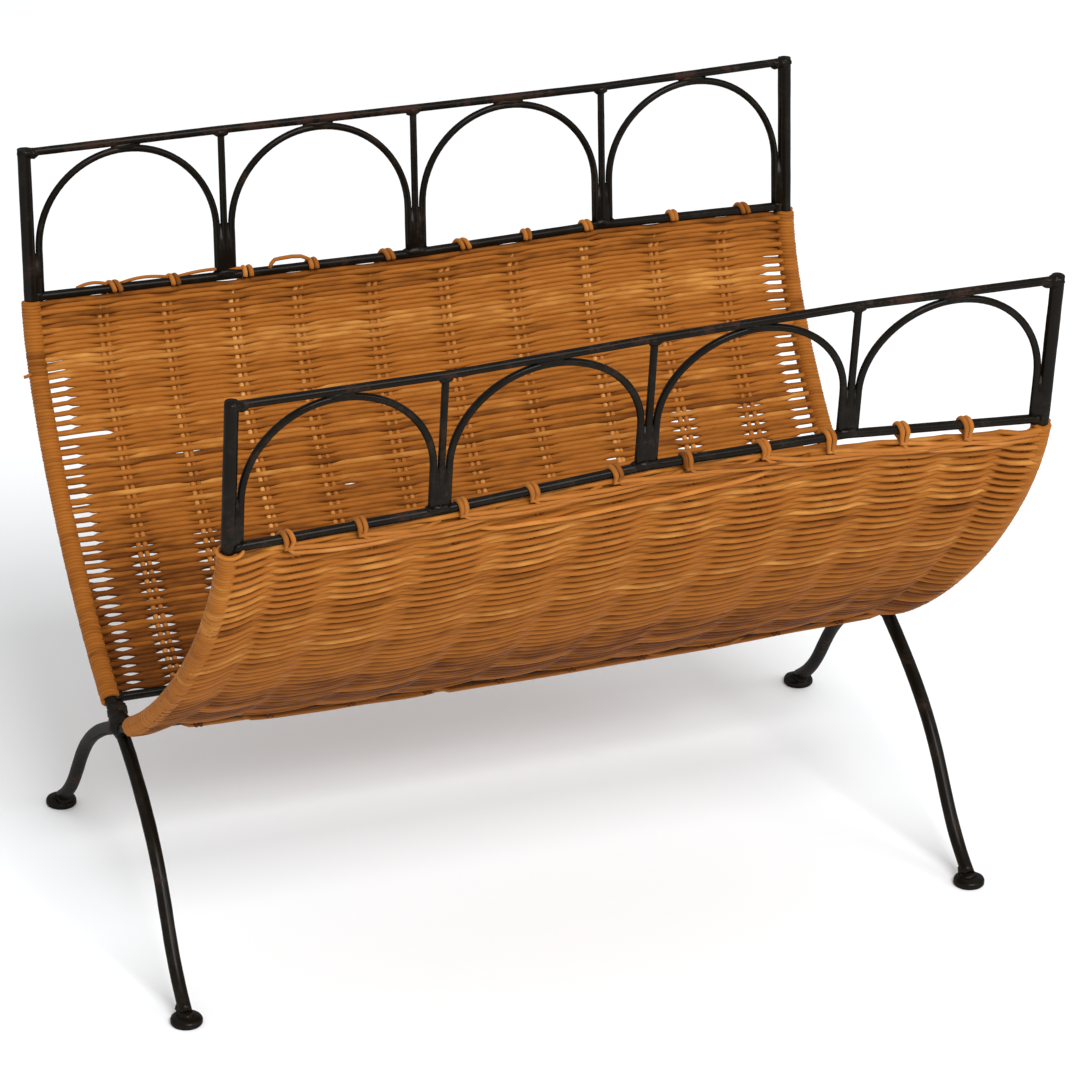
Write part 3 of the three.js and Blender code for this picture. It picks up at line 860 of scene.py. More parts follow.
def row_tubes(leaf):
    anchors = [-SPAN / 2, *leaf.columns, SPAN / 2]
    levels = row_levels(leaf)
    pitches = np.gradient(levels)
    slack = np.array([slackness(leaf, index, levels) for index in range(len(anchors))])
    x = row_places(anchors)
    if leaf.side == REAR:
        x[0] += ROW_END_SHORT
        x[-1] -= ROW_END_SHORT
    steady = np.clip((SPAN / 2 - np.abs(x)) / ROW_STEADY_END, 0, 1)
    left = smooth_share((-x / SPAN - CORNER_SIDE) / CORNER_SIDE_FADE)
    tubes = []
    rng = seeded("rows", leaf.name)
    rows_left = 0
    for row, (level, pitch) in enumerate(zip(levels, pitches)):
        if rows_left <= 0:
            rows_left = int(rng.integers(*SAME_REED_ROWS))
            weaver_tone = WEAVER_TONE[leaf.side] + rng.normal(0, WEAVER_TONE_DRAW)
            weaver_size = 1 + rng.normal(0, WEAVER_SIZE_DRAW)
        rows_left -= 1
        # rows sit in pairs, so both of a pair are as tight or as slack
        pair = row - row % 2
        move, out, swell = row_offsets(leaf, row, x, level, pitch, anchors, slack[:, pair])
        move = move + top_gap(leaf, x) * math.exp(-(level - WEAVE_TOP) / TOP_GAP_FADE)
        for parting in PARTINGS[leaf.side]:
            move = move + parting.move(x, level + move)
        move = move + wander(rng, x, *ROW_MOVE_WANDER) * steady
        out = out + wander(rng, x, *ROW_OUT_WANDER) * steady
        radius = ROW_FILL[leaf.side] * pitch / 2 * weaver_size
        radius = radius * (1 + wander(rng, x, *ROW_SIZE_WANDER)) * swell
        depth = level / BELLY_LENGTH
        tone = weaver_tone + rng.normal(0, ROW_TONE_DRAW)
        # painted shade: rows further down the belly are darker
        tone = tone - LOWER_PAINTED_SHADE[leaf.side] * smooth_share((depth - LOWER_START) / LOWER_FADE)
        if leaf.side == FRONT:
            line, radius = round_the_wraps(leaf, x, level + move, out, radius)
        else:
            # painted shade in the rear's left corner, darker the lower and further left a row lies
            corner = smooth_share((depth - CORNER_START) / CORNER_FADE)
            tone = tone - CORNER_PAINTED_SHADE * corner * left
            line = leaf.weave(x, level + move, out)
        tubes.append(Tube(line, radius, tone))
    return tubes


# The wraps: close turns round an end rod, a few of them of one tone
WRAP_REED_RADIUS = 1.35 * MM
WRAP_OUT = END_ROD_RADIUS + 0.55 * MM
WRAP_TOP = 2.6 * MM
WRAP_BOTTOM = {FRONT: BELLY_LENGTH - 24.5 * MM, REAR: BELLY_LENGTH - 18.5 * MM}
WRAP_PITCH_SHARE = {FRONT: 0.64, REAR: 0.7}
WRAP_TONE = {FRONT: 0.53, REAR: 0.4}
WRAP_TONE_DRAW = 0.05
SAME_TONE_TURNS = (3, 8)
POINTS_PER_TURN = 14
# the wander steps are counted in turns
WRAP_MOVE_WANDER = (1.3, 0.08 * MM)
WRAP_OUT_WANDER = (0.9, 0.07 * MM)


def wrap_tubes(leaf, end):
    rng = seeded("wraps", leaf.name, end)
    pitch = 2 * WRAP_REED_RADIUS * WRAP_PITCH_SHARE[leaf.side]
    turns = int((WRAP_BOTTOM[leaf.side] - WRAP_TOP) / pitch)
    tubes = []
    turn = 0
    while turn < turns:
        count = min(int(rng.integers(*SAME_TONE_TURNS)), turns - turn)
        steps = np.arange(count * POINTS_PER_TURN + 1) / POINTS_PER_TURN
        angle = steps * FULL_TURN
        along = WRAP_TOP + (turn + steps) * pitch + wander(rng, steps, *WRAP_MOVE_WANDER)
        reach = WRAP_OUT + wander(rng, steps, *WRAP_OUT_WANDER)
        x = end * (SPAN / 2 + reach * np.cos(angle))
        out = reach * np.sin(angle) * leaf.side * end
        tone = WRAP_TONE[leaf.side] + rng.normal(0, WRAP_TONE_DRAW)
        tubes.append(Tube(leaf.weave(x, along, out), WRAP_REED_RADIUS, tone))
        turn += count
    return tubes


# The stakes. Their two reeds turn round the bottom rail, pressed a little flat.
LOW_LOOP_OUT = BOTTOM_RAIL_RADIUS + STAKE_REED_RADIUS + 0.15 * MM
LOW_LOOP_FLATTENED = 0.8
LOW_LOOP_TURN = np.linspace(0.5, -0.75, 11) * math.pi
# they go up through the weave, with a point every so far from the first to the last place
STAKE_PLACES = np.arange(BOTTOM_RAIL_DISTANCE - 9 * MM, 12 * MM, -5 * MM)
STAKE_OUT_WANDER = (40 * MM, 0.1 * MM)
STAKE_SIDE_WANDER = (60 * MM, 0.5 * MM)
# then they lean over to their tie: how far below the rail, at what share of the way, how far out
LEAN_ALONG = np.array((9.5, 7, 4.6, 2.4)) * MM
LEAN_SHARES = np.array((0.28, 0.55, 0.8, 0.96))
LEAN_OUT = np.array((-1.2, -2.6, -3.4, -3.8)) * MM
# the tie goes over the basket rail, a little askew
TIE_LOOP_OUT = BASKET_RAIL_RADIUS + 0.75 * STAKE_REED_RADIUS
TIE_TURN = np.linspace(-0.5, 0.58, 11) * math.pi
TIE_SKEW, TIE_SKEW_DRAW, REED_SKEW_DRAW = 1.8 * MM, 0.9 * MM, 0.3 * MM
# on the front the ends turn aside and lie along the border: how far along, below the rail and out
END_RUN = np.array((1.5, 5, 12, 24, 42, 60, 74, 82)) * MM
END_FALL = np.array((3.6, 4.6, 5.4, 6.6, 7.6, 7.6, 7.0, 6.2)) * MM
END_OUT = np.array((3.9, 3.9, 3.9, 4.0, 4.1, 4.0, 3.4, 1.4)) * MM
END_RUN_DRAW = (0.85, 1.1)
END_FALL_DRAW = 0.4 * MM
END_FALL_APART = 1.2 * MM
END_START_APART = 1.1 * MM
END_CLOSING = 6 * MM
END_SHORT_OF_ROD = 4 * MM
# tones: a loop is in the dark, and so are the front's stakes, inside the rack
LOW_LOOP_TONE = -0.1
FRONT_STAKE_TONE = 0.1
STAKE_TONE = {FRONT: 0.52, REAR: 0.62}
STAKE_TONE_DRAW = 0.08
TIE_DARKER = 0.2
END_DARKER = 0.1


def border_end(leaf, tie, place, apart, rng):
    """Where the end of a front stake's reed lies: along the rail, below it and out."""
    run = END_RUN * rng.uniform(*END_RUN_DRAW)
    fall = END_FALL + place * END_FALL_APART + rng.normal(0, END_FALL_DRAW)
    fall[0] -= place * END_START_APART
    run = np.minimum(run, SPAN / 2 - END_SHORT_OF_ROD - tie)
    x = tie + apart * np.clip(1 - run / END_CLOSING, 0, 1) + run
    return x, fall + top_gap(leaf, x), END_OUT


def stake_tubes(leaf, index):
    """Two reeds side by side, through the weave and looped round both rails."""
    column, tie = leaf.columns[index], leaf.ties[index]
    size = STAKE_RADII[leaf.side]
    near = -leaf.side
    rng = seeded("stake", leaf.name, index)
    shared_skew = rng.normal(TIE_SKEW, TIE_SKEW_DRAW)
    tubes = []
    for place in (-1, 1):
        apart = place * STAKE_APART[leaf.side]
        out = wander(rng, STAKE_PLACES, *STAKE_OUT_WANDER)
        x = column + apart + wander(rng, STAKE_PLACES, *STAKE_SIDE_WANDER)
        skew = shared_skew + rng.normal(0, REED_SKEW_DRAW)
        tone = STAKE_TONE[leaf.side] + rng.normal(0, STAKE_TONE_DRAW)
        weave_tone = FRONT_STAKE_TONE if leaf.side == FRONT else tone
        low_along = BOTTOM_RAIL_DISTANCE + LOW_LOOP_FLATTENED * LOW_LOOP_OUT * np.cos(LOW_LOOP_TURN)
        low_out = LOW_LOOP_OUT * np.sin(LOW_LOOP_TURN)
        lean_x = lerp(column, tie, LEAN_SHARES) + apart
        tie_x = tie + place * TIE_APART + np.linspace(0, 1, len(TIE_TURN)) * skew
        tie_along = -TIE_LOOP_OUT * np.cos(TIE_TURN)
        tie_out = near * TIE_LOOP_OUT * np.sin(TIE_TURN)
        # each stretch has its places, its radius and its tone
        stretches = [
            (column + apart, low_along, low_out, size, LOW_LOOP_TONE),
            (x, STAKE_PLACES, out, size, weave_tone),
            (lean_x, LEAN_ALONG, near * LEAN_OUT, size, tone),
            (tie_x, tie_along, tie_out, TIE_RADIUS, tone - TIE_DARKER),
        ]
        if leaf.side == FRONT:
            end = border_end(leaf, tie, place, apart, rng)
            stretches.append((*end, STAKE_REED_RADIUS, tone - END_DARKER))
        full = [np.broadcast_arrays(*stretch) for stretch in stretches]
        x, along, out, radius, tones = (np.concatenate(parts) for parts in zip(*full))
        tubes.append(Tube(leaf.weave(x, along, out), radius, tones))
    return tubes


# Long strands that lie along the rails: where each starts and ends as shares of the span, then in
# mm how far past the rail it lies at its start, middle and end, and how far out
LOW_BORDER = (
    (0.062, 0.32, 2.5, 7.0, 5.0, 3.4),
    (0.08, 0.47, 4.0, 8.4, 4.5, 3.0),
    (0.14, 0.40, 3.6, 4.6, 6.8, 4.2),
    (0.26, 0.71, 5.0, 8.8, 6.2, 3.2),
    (0.38, 0.80, 2.8, 5.6, 3.4, 4.4),
    (0.52, 0.93, 6.6, 8.2, 4.8, 3.1),
    (0.66, 0.99, 3.2, 6.2, 5.6, 4.1),
    (0.78, 0.985, 7.0, 8.0, 2.8, 3.3),
)
HIGH_BORDER = (
    (0.02, 0.29, 5.0, 9.6, 6.4, 3.6),
    (0.11, 0.45, 6.2, 11.0, 7.6, 4.2),
    (0.33, 0.66, 5.6, 9.4, 6.0, 3.8),
    (0.50, 0.86, 6.4, 11.6, 7.0, 4.4),
    (0.69, 0.98, 5.2, 9.0, 6.2, 3.9),
)
# on the front one pale strand lies across the upper rows
FRONT_HIGH_BORDER = ((0.3, 0.66, 15, 23.5, 13, 3.5),)
LOW_BORDER_TONE, HIGH_BORDER_TONE, FRONT_HIGH_BORDER_TONE = 0.5, 0.55, 0.95
BORDER_TONE_DRAW = 0.1
BORDER_FEWEST_POINTS = 8
# a strand's ends are tucked in to this far out, over this share of its length
BORDER_TUCKED_OUT, BORDER_TUCK_SHARE = 0.6, 0.06
# how it wanders, with the steps as shares of its length
BORDER_MOVE_WANDER = (0.16, 0.35)
BORDER_OUT_WANDER = (0.2, 0.2)
BORDER_SIZE_WANDER = (0.2, 0.04)


def border_tubes(leaf, strands, rail_distance, tone):
    """Strands along a rail on the leaf's outside, each tucked in at both ends."""
    tubes = []
    for index, (start, end, first, middle, last, out) in enumerate(strands):
        rng = seeded("border", leaf.name, rail_distance > 0, index)
        count = max(round((end - start) * SPAN / WEAVE_STEP), BORDER_FEWEST_POINTS)
        share = np.linspace(0, 1, count)
        x = (lerp(start, end, share) - 1 / 2) * SPAN
        curve = (1 - share) ** 2 * first + 2 * share * (1 - share) * middle + share**2 * last
        along = rail_distance + (curve + wander(rng, share, *BORDER_MOVE_WANDER)) * MM
        shown = smooth_share(np.minimum(share, 1 - share) / BORDER_TUCK_SHARE)
        reach = lerp(BORDER_TUCKED_OUT, out, shown)
        reach = (reach + wander(rng, share, *BORDER_OUT_WANDER) * shown) * MM
        radius = REED_RADIUS * (1 + wander(rng, share, *BORDER_SIZE_WANDER))
        strand_tone = tone + rng.normal(0, BORDER_TONE_DRAW)
        tubes.append(Tube(leaf.weave(x, along, reach), radius, strand_tone))
    return tubes


# Strand ends that were left out of the weave. A tail runs along the rear rail from each of the
# first ties, rises off it in the middle and comes down to its side.
LOOSE_RADIUS = 1 * MM
TAIL_LENGTHS = (17 * MM, 27 * MM, 39 * MM)
TAIL_POINTS = 12
TAIL_FROM_TIE = 2 * MM
TAIL_RISE = 1.2 * MM
TAIL_DROP = 1.5 * MM
TAIL_OUT = (-1.5 * MM, 1 * MM)
TAIL_TONE = 0.45
# one strand stands up like a bridge before the fourth tie
BRIDGE_TIE = 3
BRIDGE_PLACES = np.array((-24.5, -23.5, -21.5, -18, -11.5, -6, -3, -1.2)) * MM
BRIDGE_HEIGHTS = np.array((-1.5, -4.2, -6.2, -6.6, -6.9, -6.4, -5, -3)) * MM
BRIDGE_OUT = -1.2 * MM
BRIDGE_RADIUS = 1.15 * LOOSE_RADIUS
BRIDGE_TONE = 0.5
# a stub sticks out of the rear's left wrap
STUB_PLACES = np.array((-4, -5.5, -7.2, -8.8)) * MM - SPAN / 2
STUB_LEVELS = np.array((42, 42.4, 43, 43.2)) * MM
STUB_OUT = -2 * MM
STUB_TONE = 0.4
# a ring lies round the foot of the front's left post
RING_ANGLES = np.linspace(0, 2.15 * math.pi, 30)
RING_MIDDLE, RING_LEVEL = 1.2 * MM - SPAN / 2, 1.6 * MM
RING_WIDTH, RING_TILT, RING_DEPTH = 6.6 * MM, 0.9 * MM, 5.6 * MM
RING_RISE = 0.35 * MM / math.pi
RING_TONE = 0.8


def loose_tubes():
    tubes = []
    on_rail = -BASKET_RAIL_RADIUS - LOOSE_RADIUS
    for tie, length in zip(rear_leaf.ties, TAIL_LENGTHS):
        share = np.linspace(0, 1, TAIL_POINTS)
        x = tie - TAIL_FROM_TIE - share * length
        along = on_rail - TAIL_RISE * np.sin(share * math.pi) + TAIL_DROP * share**3
        tail = rear_leaf.weave(x, along, lerp(*TAIL_OUT, share))
        tubes.append(Tube(tail, LOOSE_RADIUS, TAIL_TONE))
    x = rear_leaf.ties[BRIDGE_TIE] + BRIDGE_PLACES
    bridge = rear_leaf.weave(x, BRIDGE_HEIGHTS, BRIDGE_OUT)
    tubes.append(Tube(bridge, BRIDGE_RADIUS, BRIDGE_TONE))
    stub = rear_leaf.weave(STUB_PLACES, STUB_LEVELS, STUB_OUT)
    tubes.append(Tube(stub, LOOSE_RADIUS, STUB_TONE))
    x = RING_MIDDLE + RING_WIDTH * np.cos(RING_ANGLES)
    along = RING_LEVEL + RING_TILT * np.sin(RING_ANGLES) + RING_RISE * RING_ANGLES
    ring = front_leaf.weave(x, along, RING_DEPTH * np.sin(RING_ANGLES))
    tubes.append(Tube(ring, LOOSE_RADIUS, RING_TONE))
    return tubes


# Iron. Bars and wires are uneven in size, over long and short steps.

LONG_DENTS = (9 * MM, 0.012)
SHORT_DENTS = (3 * MM, 0.006)
END_ROD_SIDES = 16
WIRE_SIDES = 12
POST_POINTS = 24
BELLY_POINTS = 60
LEG_SAMPLES = 200
LEG_POINTS = 50
RAIL_POINTS = 101
UPRIGHT_POINTS = 24
ARCH_POINTS = 41
ARCH_LEG_POINTS = 6
BESIDE_UPRIGHT = UPRIGHT_RADIUS + ARCH_WIRE_RADIUS + SEAT_GAP
BESIDE_POST = END_ROD_RADIUS + ARCH_WIRE_RADIUS + SEAT_GAP


def rod_piece(name, points, radius, sides, node, material=black_iron):
    rng = seeded("iron", name)
    along = running_length(points)
    uneven = 1 + wander(rng, along, *LONG_DENTS) + wander(rng, along, *SHORT_DENTS)
    tube_piece(name, [Tube(points, radius * uneven)], sides, material, [node])


def end_rod(leaf, end):
    """A bar in one piece: post, belly, crossing and arched leg."""
    post_length = (TOP_RAIL_HEIGHT + TOP_RAIL_RADIUS - BASKET_RAIL_HEIGHT) / POST_DIRECTION[1]
    post = RAIL_POINT + np.linspace(post_length, 0, POST_POINTS)[:-1, None] * POST_DIRECTION
    toe = np.array([TOE_SHORT_OF_FOOT - FOOT_REACH, TOE_HEIGHT])
    falling = np.array([-math.cos(TOE_TILT), -math.sin(TOE_TILT)])
    leg = bezier(
        CROSSING_POINT,
        CROSSING_POINT - LEG_TOP_HANDLE * RISING,
        toe - LEG_LOW_HANDLE * falling,
        toe,
        LEG_SAMPLES,
    )
    flat = np.concatenate([post, spaced(BELLY, BELLY_POINTS), spaced(leg, LEG_POINTS)[1:]])
    points = leaf.settle(np.full(len(flat), end * SPAN / 2), flat[:, 0], flat[:, 1])
    post_name = f"{END_NAMES[end]}_{leaf.name}"
    node = f"{post_name}_post_{SIDE_NAMES[-leaf.side]}_leg"
    rod_piece(post_name + "_rod", points, END_ROD_RADIUS, END_ROD_SIDES, node)


def rail(leaf, kind, radius, y, z, material=black_iron):
    points = leaf.settle(np.linspace(-SPAN / 2, SPAN / 2, RAIL_POINTS), y, z)
    node = f"{leaf.name}_{kind}"
    rod_piece(node + "_bar", points, radius, WIRE_SIDES, node, material)


def upright(leaf, index):
    x = np.full(UPRIGHT_POINTS, -SPAN / 2 + index * BAY)
    points = leaf.guard(x, np.linspace(BASKET_RAIL_HEIGHT, TOP_RAIL_HEIGHT, UPRIGHT_POINTS))
    node = f"{leaf.name}_upright_{index}"
    rod_piece(node + "_wire", points, UPRIGHT_RADIUS, WIRE_SIDES, node)


def arch_feet(index):
    """Where an arch's two feet stand along the rail."""
    low = -SPAN / 2 + index * BAY + (BESIDE_POST if index == 0 else BESIDE_UPRIGHT)
    last = index == BAY_COUNT - 1
    return low, -SPAN / 2 + (index + 1) * BAY - (BESIDE_POST if last else BESIDE_UPRIGHT)


def arch(leaf, index):
    low, high = arch_feet(index)
    stand = BASKET_RAIL_HEIGHT + BASKET_RAIL_RADIUS
    crown = TOP_RAIL_HEIGHT - TOP_RAIL_RADIUS - ARCH_WIRE_RADIUS
    spring = lerp(stand, crown, ARCH_LEG_SHARE)
    angle = np.linspace(math.pi, 0, ARCH_POINTS)
    bend = (low + high) / 2 + (high - low) / 2 * np.cos(angle)
    x = np.concatenate([[low] * ARCH_LEG_POINTS, bend, [high] * ARCH_LEG_POINTS])
    legs = np.linspace(stand, spring, ARCH_LEG_POINTS + 1)[:-1]
    z = np.concatenate([legs, spring + (crown - spring) * np.sin(angle), legs[::-1]])
    node = f"{leaf.name}_arch_{index + 1}"
    rod_piece(node + "_wire", leaf.guard(x, z), ARCH_WIRE_RADIUS, WIRE_SIDES, node)


# A foot: a forged pad, turned on a lathe and then hammered a little out of true. Its profile is
# in shares of its radius and height.
FOOT_PROFILE = (
    (0.0, 0.0),
    (0.92, 0.0),
    (1.0, 0.16),
    (1.0, 0.5),
    (0.95, 0.72),
    (0.8, 0.88),
    (0.5, 0.98),
    (0.0, 1.0),
)
FOOT_STEPS = 40
FOOT_DENT_SCALE = 180
FOOT_DENT = 0.35 * MM
FOOT_DENT_DOWN = 0.4
FOOT_EDGE_SHARE = 0.5
SOLE_THICKNESS = 0.1 * MM
WELD_DISTANCE = 0.01 * MM


def foot_name(leaf, end):
    """The leaf's leg reaches across to a foot of the other side."""
    return f"{SIDE_NAMES[-leaf.side]}_{END_NAMES[end]}_foot"


def foot(leaf, end):
    shape = bmesh.new()
    verts = [shape.verts.new((r * FOOT_RADIUS, 0, h * FOOT_HEIGHT)) for r, h in FOOT_PROFILE]
    edges = [shape.edges.new(pair) for pair in zip(verts, verts[1:])]
    bmesh.ops.spin(
        shape,
        geom=verts + edges,
        cent=(0, 0, 0),
        axis=(0, 0, 1),
        angle=FULL_TURN,
        steps=FOOT_STEPS,
        use_merge=True,
    )
    bmesh.ops.remove_doubles(shape, verts=shape.verts, dist=WELD_DISTANCE)
    offset = Vector(seeded("foot", leaf.name, end).normal(0, 1, 3))
    for vert in shape.verts:
        if vert.co.z > SOLE_THICKNESS:
            push = abs(noise.noise(vert.co * FOOT_DENT_SCALE + offset)) * FOOT_DENT
            radial = Vector((vert.co.x, vert.co.y, 0))
            if radial.length > FOOT_EDGE_SHARE * FOOT_RADIUS:
                vert.co -= radial.normalized() * push
            vert.co.z -= push * FOOT_DENT_DOWN
    centre = leaf.settle(end * SPAN / 2, -FOOT_REACH, 0.0)
    bmesh.ops.translate(shape, verts=shape.verts, vec=Vector(centre))
    bmesh.ops.recalc_face_normals(shape, faces=shape.faces)
    name = foot_name(leaf, end)
    add_shape(name + "_pad", shape, black_iron, [name])


# Welds: small balls, drawn out and made uneven. Half sizes are in mm.
WELD_UNEVEN = 0.22
BROAD_LUMPS, FINE_LUMPS = 1.7, 4
LUMP_SPREAD = 20
ALONG_X = ((1, 0, 0), (0, 1, 0), (0, 0, 1))


def weld(shape, centre, axes, sizes, seed):
    made = bmesh.ops.create_icosphere(shape, subdivisions=3, radius=1.0)["verts"]
    offset = Vector(seeded("blob", seed).normal(0, LUMP_SPREAD, 3))
    basis = Matrix([Vector(axis).normalized() for axis in axes]).transposed()
    for vert in made:
        direction = vert.co.copy()
        lump = 1 + WELD_UNEVEN * noise.noise(direction * BROAD_LUMPS + offset)
        lump += WELD_UNEVEN / 2 * noise.noise(direction * FINE_LUMPS + offset)
        drawn = [part * size * MM * lump for part, size in zip(direction, sizes)]
        vert.co = basis @ Vector(drawn) + Vector(centre)


def weld_piece(name, axes, welds):
    """One piece of several welds, each with its centre and half sizes."""
    shape = bmesh.new()
    for index, (centre, sizes) in enumerate(welds):
        weld(shape, centre, axes, sizes, f"{name}{index}")
    add_shape(name, shape, weld_iron)


# In the upper frame: how far in from a post, at what height, and the half sizes along the rail,
# across the leaf and up
POST_WELDS = (
    (1.0 * MM, TOP_RAIL_HEIGHT - 0.3 * MM, (4.8, 4.1, 3.4)),
    (4.6 * MM, TOP_RAIL_HEIGHT - 0.9 * MM, (4.4, 2.9, 3.0)),
    (4.2 * MM, BASKET_RAIL_HEIGHT, (4.0, 3.2, 3.6)),
)
UPRIGHT_WELDS = (
    (TOP_RAIL_HEIGHT - 1.6 * MM, (4.3, 2.7, 2.7)),
    (BASKET_RAIL_HEIGHT + 1.2 * MM, (8.2, 3.3, 3.1)),
)
CROWN_WELD_HEIGHT = TOP_RAIL_HEIGHT - TOP_RAIL_RADIUS - 0.4 * MM
CROWN_WELD = (8.5, 2.3, 2.3)


def guard_welds(leaf):
    """Corners, rail joints, uprights and crowns of one leaf's upper frame."""
    welds = []
    for end in (LEFT, RIGHT):
        for inward, height, sizes in POST_WELDS:
            welds.append((leaf.guard(end * (SPAN / 2 - inward), height), sizes))
    for index in range(1, BAY_COUNT):
        for height, sizes in UPRIGHT_WELDS:
            welds.append((leaf.guard(-SPAN / 2 + index * BAY, height), sizes))
    for index in range(BAY_COUNT):
        middle = sum(arch_feet(index)) / 2
        welds.append((leaf.guard(middle, CROWN_WELD_HEIGHT), CROWN_WELD))
    up = (0, leaf.side * POST_DIRECTION[0], POST_DIRECTION[1])
    across = (0, POST_DIRECTION[1], -leaf.side * POST_DIRECTION[0])
    weld_piece(f"{leaf.name}_guard_welds", ((1, 0, 0), across, up), welds)


# Where wires stand side by side on the basket rail, weld fills them into one slab. It is nearly
# as thick as the wires, and gets thinner above a share of its height.
FAN_HEIGHT, FAN_HEIGHT_DRAW = 28 * MM, 1.5 * MM
FAN_LOW = BASKET_RAIL_HEIGHT - 0.5 * MM
FAN_LEVELS = 7
FAN_FILLS = (0.96, 0.4)
FAN_THINNING_START = 0.4
FAN_ANGLES = np.arange(12) * FULL_TURN / 12


def weld_fans(leaf):
    shape = bmesh.new()
    rng = seeded("fans", leaf.name)
    for index in range(BAY_COUNT + 1):
        x = -SPAN / 2 + index * BAY
        if index == 0:
            wires = ((x, END_ROD_RADIUS), (x + BESIDE_POST, ARCH_WIRE_RADIUS))
        elif index == BAY_COUNT:
            wires = ((x - BESIDE_POST, ARCH_WIRE_RADIUS), (x, END_ROD_RADIUS))
        else:
            wires = (
                (x - BESIDE_UPRIGHT, ARCH_WIRE_RADIUS),
                (x, UPRIGHT_RADIUS),
                (x + BESIDE_UPRIGHT, ARCH_WIRE_RADIUS),
            )
        height = rng.normal(FAN_HEIGHT, FAN_HEIGHT_DRAW)
        verts = []
        for share in np.linspace(0, 1, FAN_LEVELS):
            thinning = smooth_share((share - FAN_THINNING_START) / (1 - FAN_THINNING_START))
            for wire_x, radius in wires:
                reach = lerp(*FAN_FILLS, thinning) * radius
                ring_x = wire_x + reach * np.cos(FAN_ANGLES)
                ring = leaf.guard(ring_x, FAN_LOW + height * share, reach * np.sin(FAN_ANGLES))
                verts += [shape.verts.new(point) for point in ring]
        hull = bmesh.ops.convex_hull(shape, input=verts)
        left_over = set(hull["geom_interior"] + hull["geom_unused"])
        left_over = [part for part in left_over if isinstance(part, bmesh.types.BMVert)]
        bmesh.ops.delete(shape, geom=left_over, context="VERTS")
    add_shape(f"{leaf.name}_weld_fans", shape, black_iron)


# At a crossing: the lump itself, then for each leaf the bottom rail's joint and the rod's bend,
# then a heel on the rear rod
LUMP_HEIGHT, LUMP_WELD = CROSSING_HEIGHT + 1.5 * MM, (6.2, 8.6, 8.2)
JOINT_INWARD, JOINT_WELD = 4.0 * MM, (4.6, 3.4, 3.4)
BEND_PLACE, BEND_WELD = BELLY_LENGTH - 5 * MM, (4.2, 4.6, 4.2)
HEEL_INWARD, HEEL_PLACE, HEEL_WELD = 1.5 * MM, BELLY_LENGTH - 11 * MM, (5.4, 6.6, 6)


def crossing_welds(end):
    x = end * SPAN / 2
    welds = [(rear_leaf.settle(x, 0.0, LUMP_HEIGHT), LUMP_WELD)]
    for leaf in leaves:
        joint = leaf.weave(x - end * JOINT_INWARD, BOTTOM_RAIL_DISTANCE, 0.0)
        welds.append((joint, JOINT_WELD))
        welds.append((leaf.weave(x, BEND_PLACE, 0.0), BEND_WELD))
    welds.append((rear_leaf.weave(x - end * HEEL_INWARD, HEEL_PLACE, 0.0), HEEL_WELD))
    weld_piece(f"{END_NAMES[end]}_crossing_weld", ALONG_X, welds)


# The rod's tip is hammered down into the middle of its pad: how far in from the foot's middle, at
# what height, and the half sizes
TOE_WELDS = (
    (TOE_SHORT_OF_FOOT, TOE_HEIGHT - 0.7 * MM, (4.6, 4.8, 2.6)),
    (5 * MM, TOE_HEIGHT + 0.6 * MM, (4.1, 4.6, 3.6)),
)


def foot_welds(leaf, end):
    welds = []
    for inward, height, sizes in TOE_WELDS:
        welds.append((leaf.settle(end * SPAN / 2, inward - FOOT_REACH, height), sizes))
    weld_piece(foot_name(leaf, end) + "_weld", ALONG_X, welds)


# The pieces of iron

for leaf in leaves:
    for end in (LEFT, RIGHT):
        end_rod(leaf, end)
        foot(leaf, end)
        foot_welds(leaf, end)
    bottom_y = np.interp(BOTTOM_RAIL_DISTANCE, BELLY_ALONG, BELLY[:, 0])
    bottom_z = np.interp(BOTTOM_RAIL_DISTANCE, BELLY_ALONG, BELLY[:, 1])
    rail(leaf, "top_rail", TOP_RAIL_RADIUS, TOP_RAIL_REACH, TOP_RAIL_HEIGHT, worn_iron)
    rail(leaf, "basket_rail", BASKET_RAIL_RADIUS, BASKET_RAIL_REACH, BASKET_RAIL_HEIGHT)
    rail(leaf, "bottom_rail", BOTTOM_RAIL_RADIUS, bottom_y, bottom_z)
    for index in range(1, BAY_COUNT):
        upright(leaf, index)
    for index in range(BAY_COUNT):
        arch(leaf, index)
    guard_welds(leaf)
    weld_fans(leaf)
for end in (LEFT, RIGHT):
    crossing_welds(end)

# The pieces of reed

STRAND_SIDES = 8


def reed_piece(name, tubes, material, replaced=()):
    tube_piece(name, tubes, STRAND_SIDES, material, replaced)


for leaf in leaves:
    panel = f"{leaf.name}_woven_panel"
    reed_piece(f"{leaf.name}_weave", row_tubes(leaf), woven_reed, replaced=[panel])
    for end in (LEFT, RIGHT):
        reed_piece(f"{leaf.name}_{END_NAMES[end]}_wrap", wrap_tubes(leaf, end), woven_reed)
    if leaf.side == FRONT:
        low_border = border_tubes(leaf, LOW_BORDER, BOTTOM_RAIL_DISTANCE, LOW_BORDER_TONE)
        reed_piece(f"{leaf.name}_low_border", low_border, low_border_reed)
        high_border = border_tubes(leaf, FRONT_HIGH_BORDER, 0.0, FRONT_HIGH_BORDER_TONE)
    else:
        high_border = border_tubes(leaf, HIGH_BORDER, 0.0, HIGH_BORDER_TONE)
    reed_piece(f"{leaf.name}_high_border", high_border, border_reed)
    for index in range(len(leaf.columns)):
        node = f"{leaf.name}_stake_{index + 1:02d}"
        reed_piece(node + "_pair", stake_tubes(leaf, index), stake_reed, [node])
reed_piece("loose_ends", loose_tubes(), border_reed)


# Floor

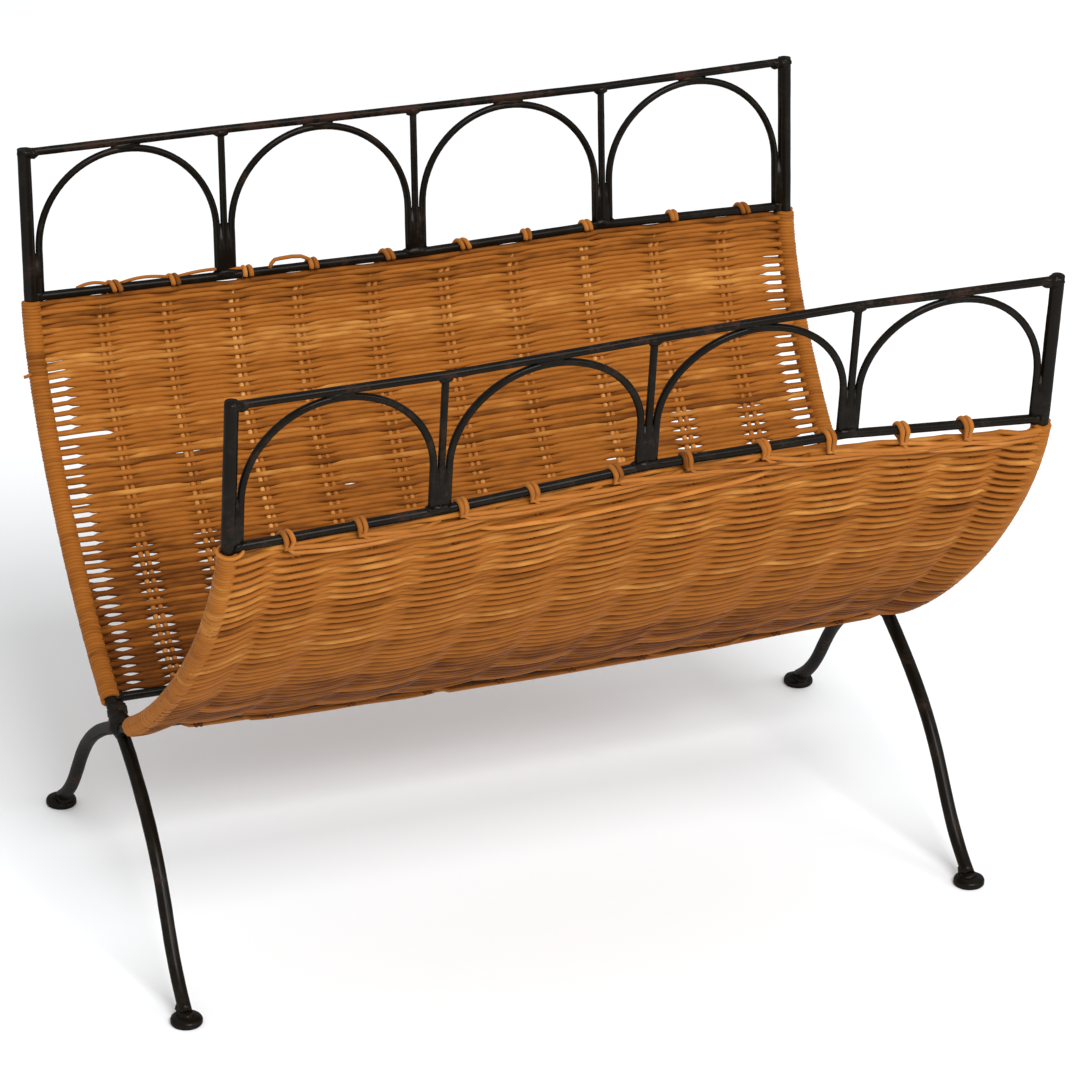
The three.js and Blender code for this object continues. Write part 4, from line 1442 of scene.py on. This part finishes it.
FLOOR_SIZE = 6.0
FLOOR_FINISH = {
    "Base Color": (0.924, 0.946, 0.96, 1),
    "Roughness": 0.9,
    "Specular IOR Level": 0.1,
}

floor_shape = bmesh.new()
bmesh.ops.create_grid(floor_shape, x_segments=1, y_segments=1, size=FLOOR_SIZE / 2)
floor = new_object("floor", new_mesh("floor", floor_shape))
floor_material, _, floor_shader = new_material("floor")
set_inputs(floor_shader, FLOOR_FINISH)
floor.data.materials.append(floor_material)

# Light: a white studio, a soft light overhead and a weaker one from the right

STUDIO_LIGHT = {"Color": (1, 1, 1, 1), "Strength": 0.72}
RACK_MIDDLE = Vector((0, 0, 0.2))
# each light's place, its size and its power in watts
LIGHTS = {
    "overhead": ((0.4, -4.3, 4.8), 3.2, 295),
    "front_right": ((3.6, -3.6, 3.0), 1.8, 44),
}

world = bpy.data.worlds.new("studio")
bpy.context.scene.world = world
world.use_nodes = True
set_inputs(world.node_tree.nodes["Background"], STUDIO_LIGHT)
for name, (place, size, power) in LIGHTS.items():
    light_data = bpy.data.lights.new(name, "AREA")
    light_data.shape = "SQUARE"
    light_data.size = size
    light_data.energy = power
    light = new_object(name, light_data)
    light.rotation_euler = (RACK_MIDDLE - Vector(place)).to_track_quat("-Z", "Y").to_euler()
    light.location = place

# Camera, as fitted to the photo

SENSOR_WIDTH = 36
LENS = 186.77
CLIP_NEAR, CLIP_FAR = 0.1, 50
CAMERA_PLACE = Vector((-971.3, -2583.1, 1522.9)) * MM
CAMERA_LOOK = Vector((0.32103, 0.84114, -0.43523)).normalized()
CAMERA_ROLL = math.radians(0.743)

camera_data = bpy.data.cameras.new("camera")
camera_data.sensor_width = SENSOR_WIDTH
camera_data.sensor_fit = "HORIZONTAL"
camera_data.lens = LENS
camera_data.clip_start = CLIP_NEAR
camera_data.clip_end = CLIP_FAR
camera = new_object("camera", camera_data)
level_right = CAMERA_LOOK.cross(Vector((0, 0, 1))).normalized()
level_up = level_right.cross(CAMERA_LOOK)
camera_right = math.cos(CAMERA_ROLL) * level_right + math.sin(CAMERA_ROLL) * level_up
camera_up = camera_right.cross(CAMERA_LOOK)
turn = Matrix((camera_right, camera_up, -CAMERA_LOOK)).transposed().to_4x4()
camera.matrix_world = Matrix.Translation(CAMERA_PLACE) @ turn
bpy.context.scene.camera = camera
bpy.context.scene.view_settings.view_transform = "Standard"
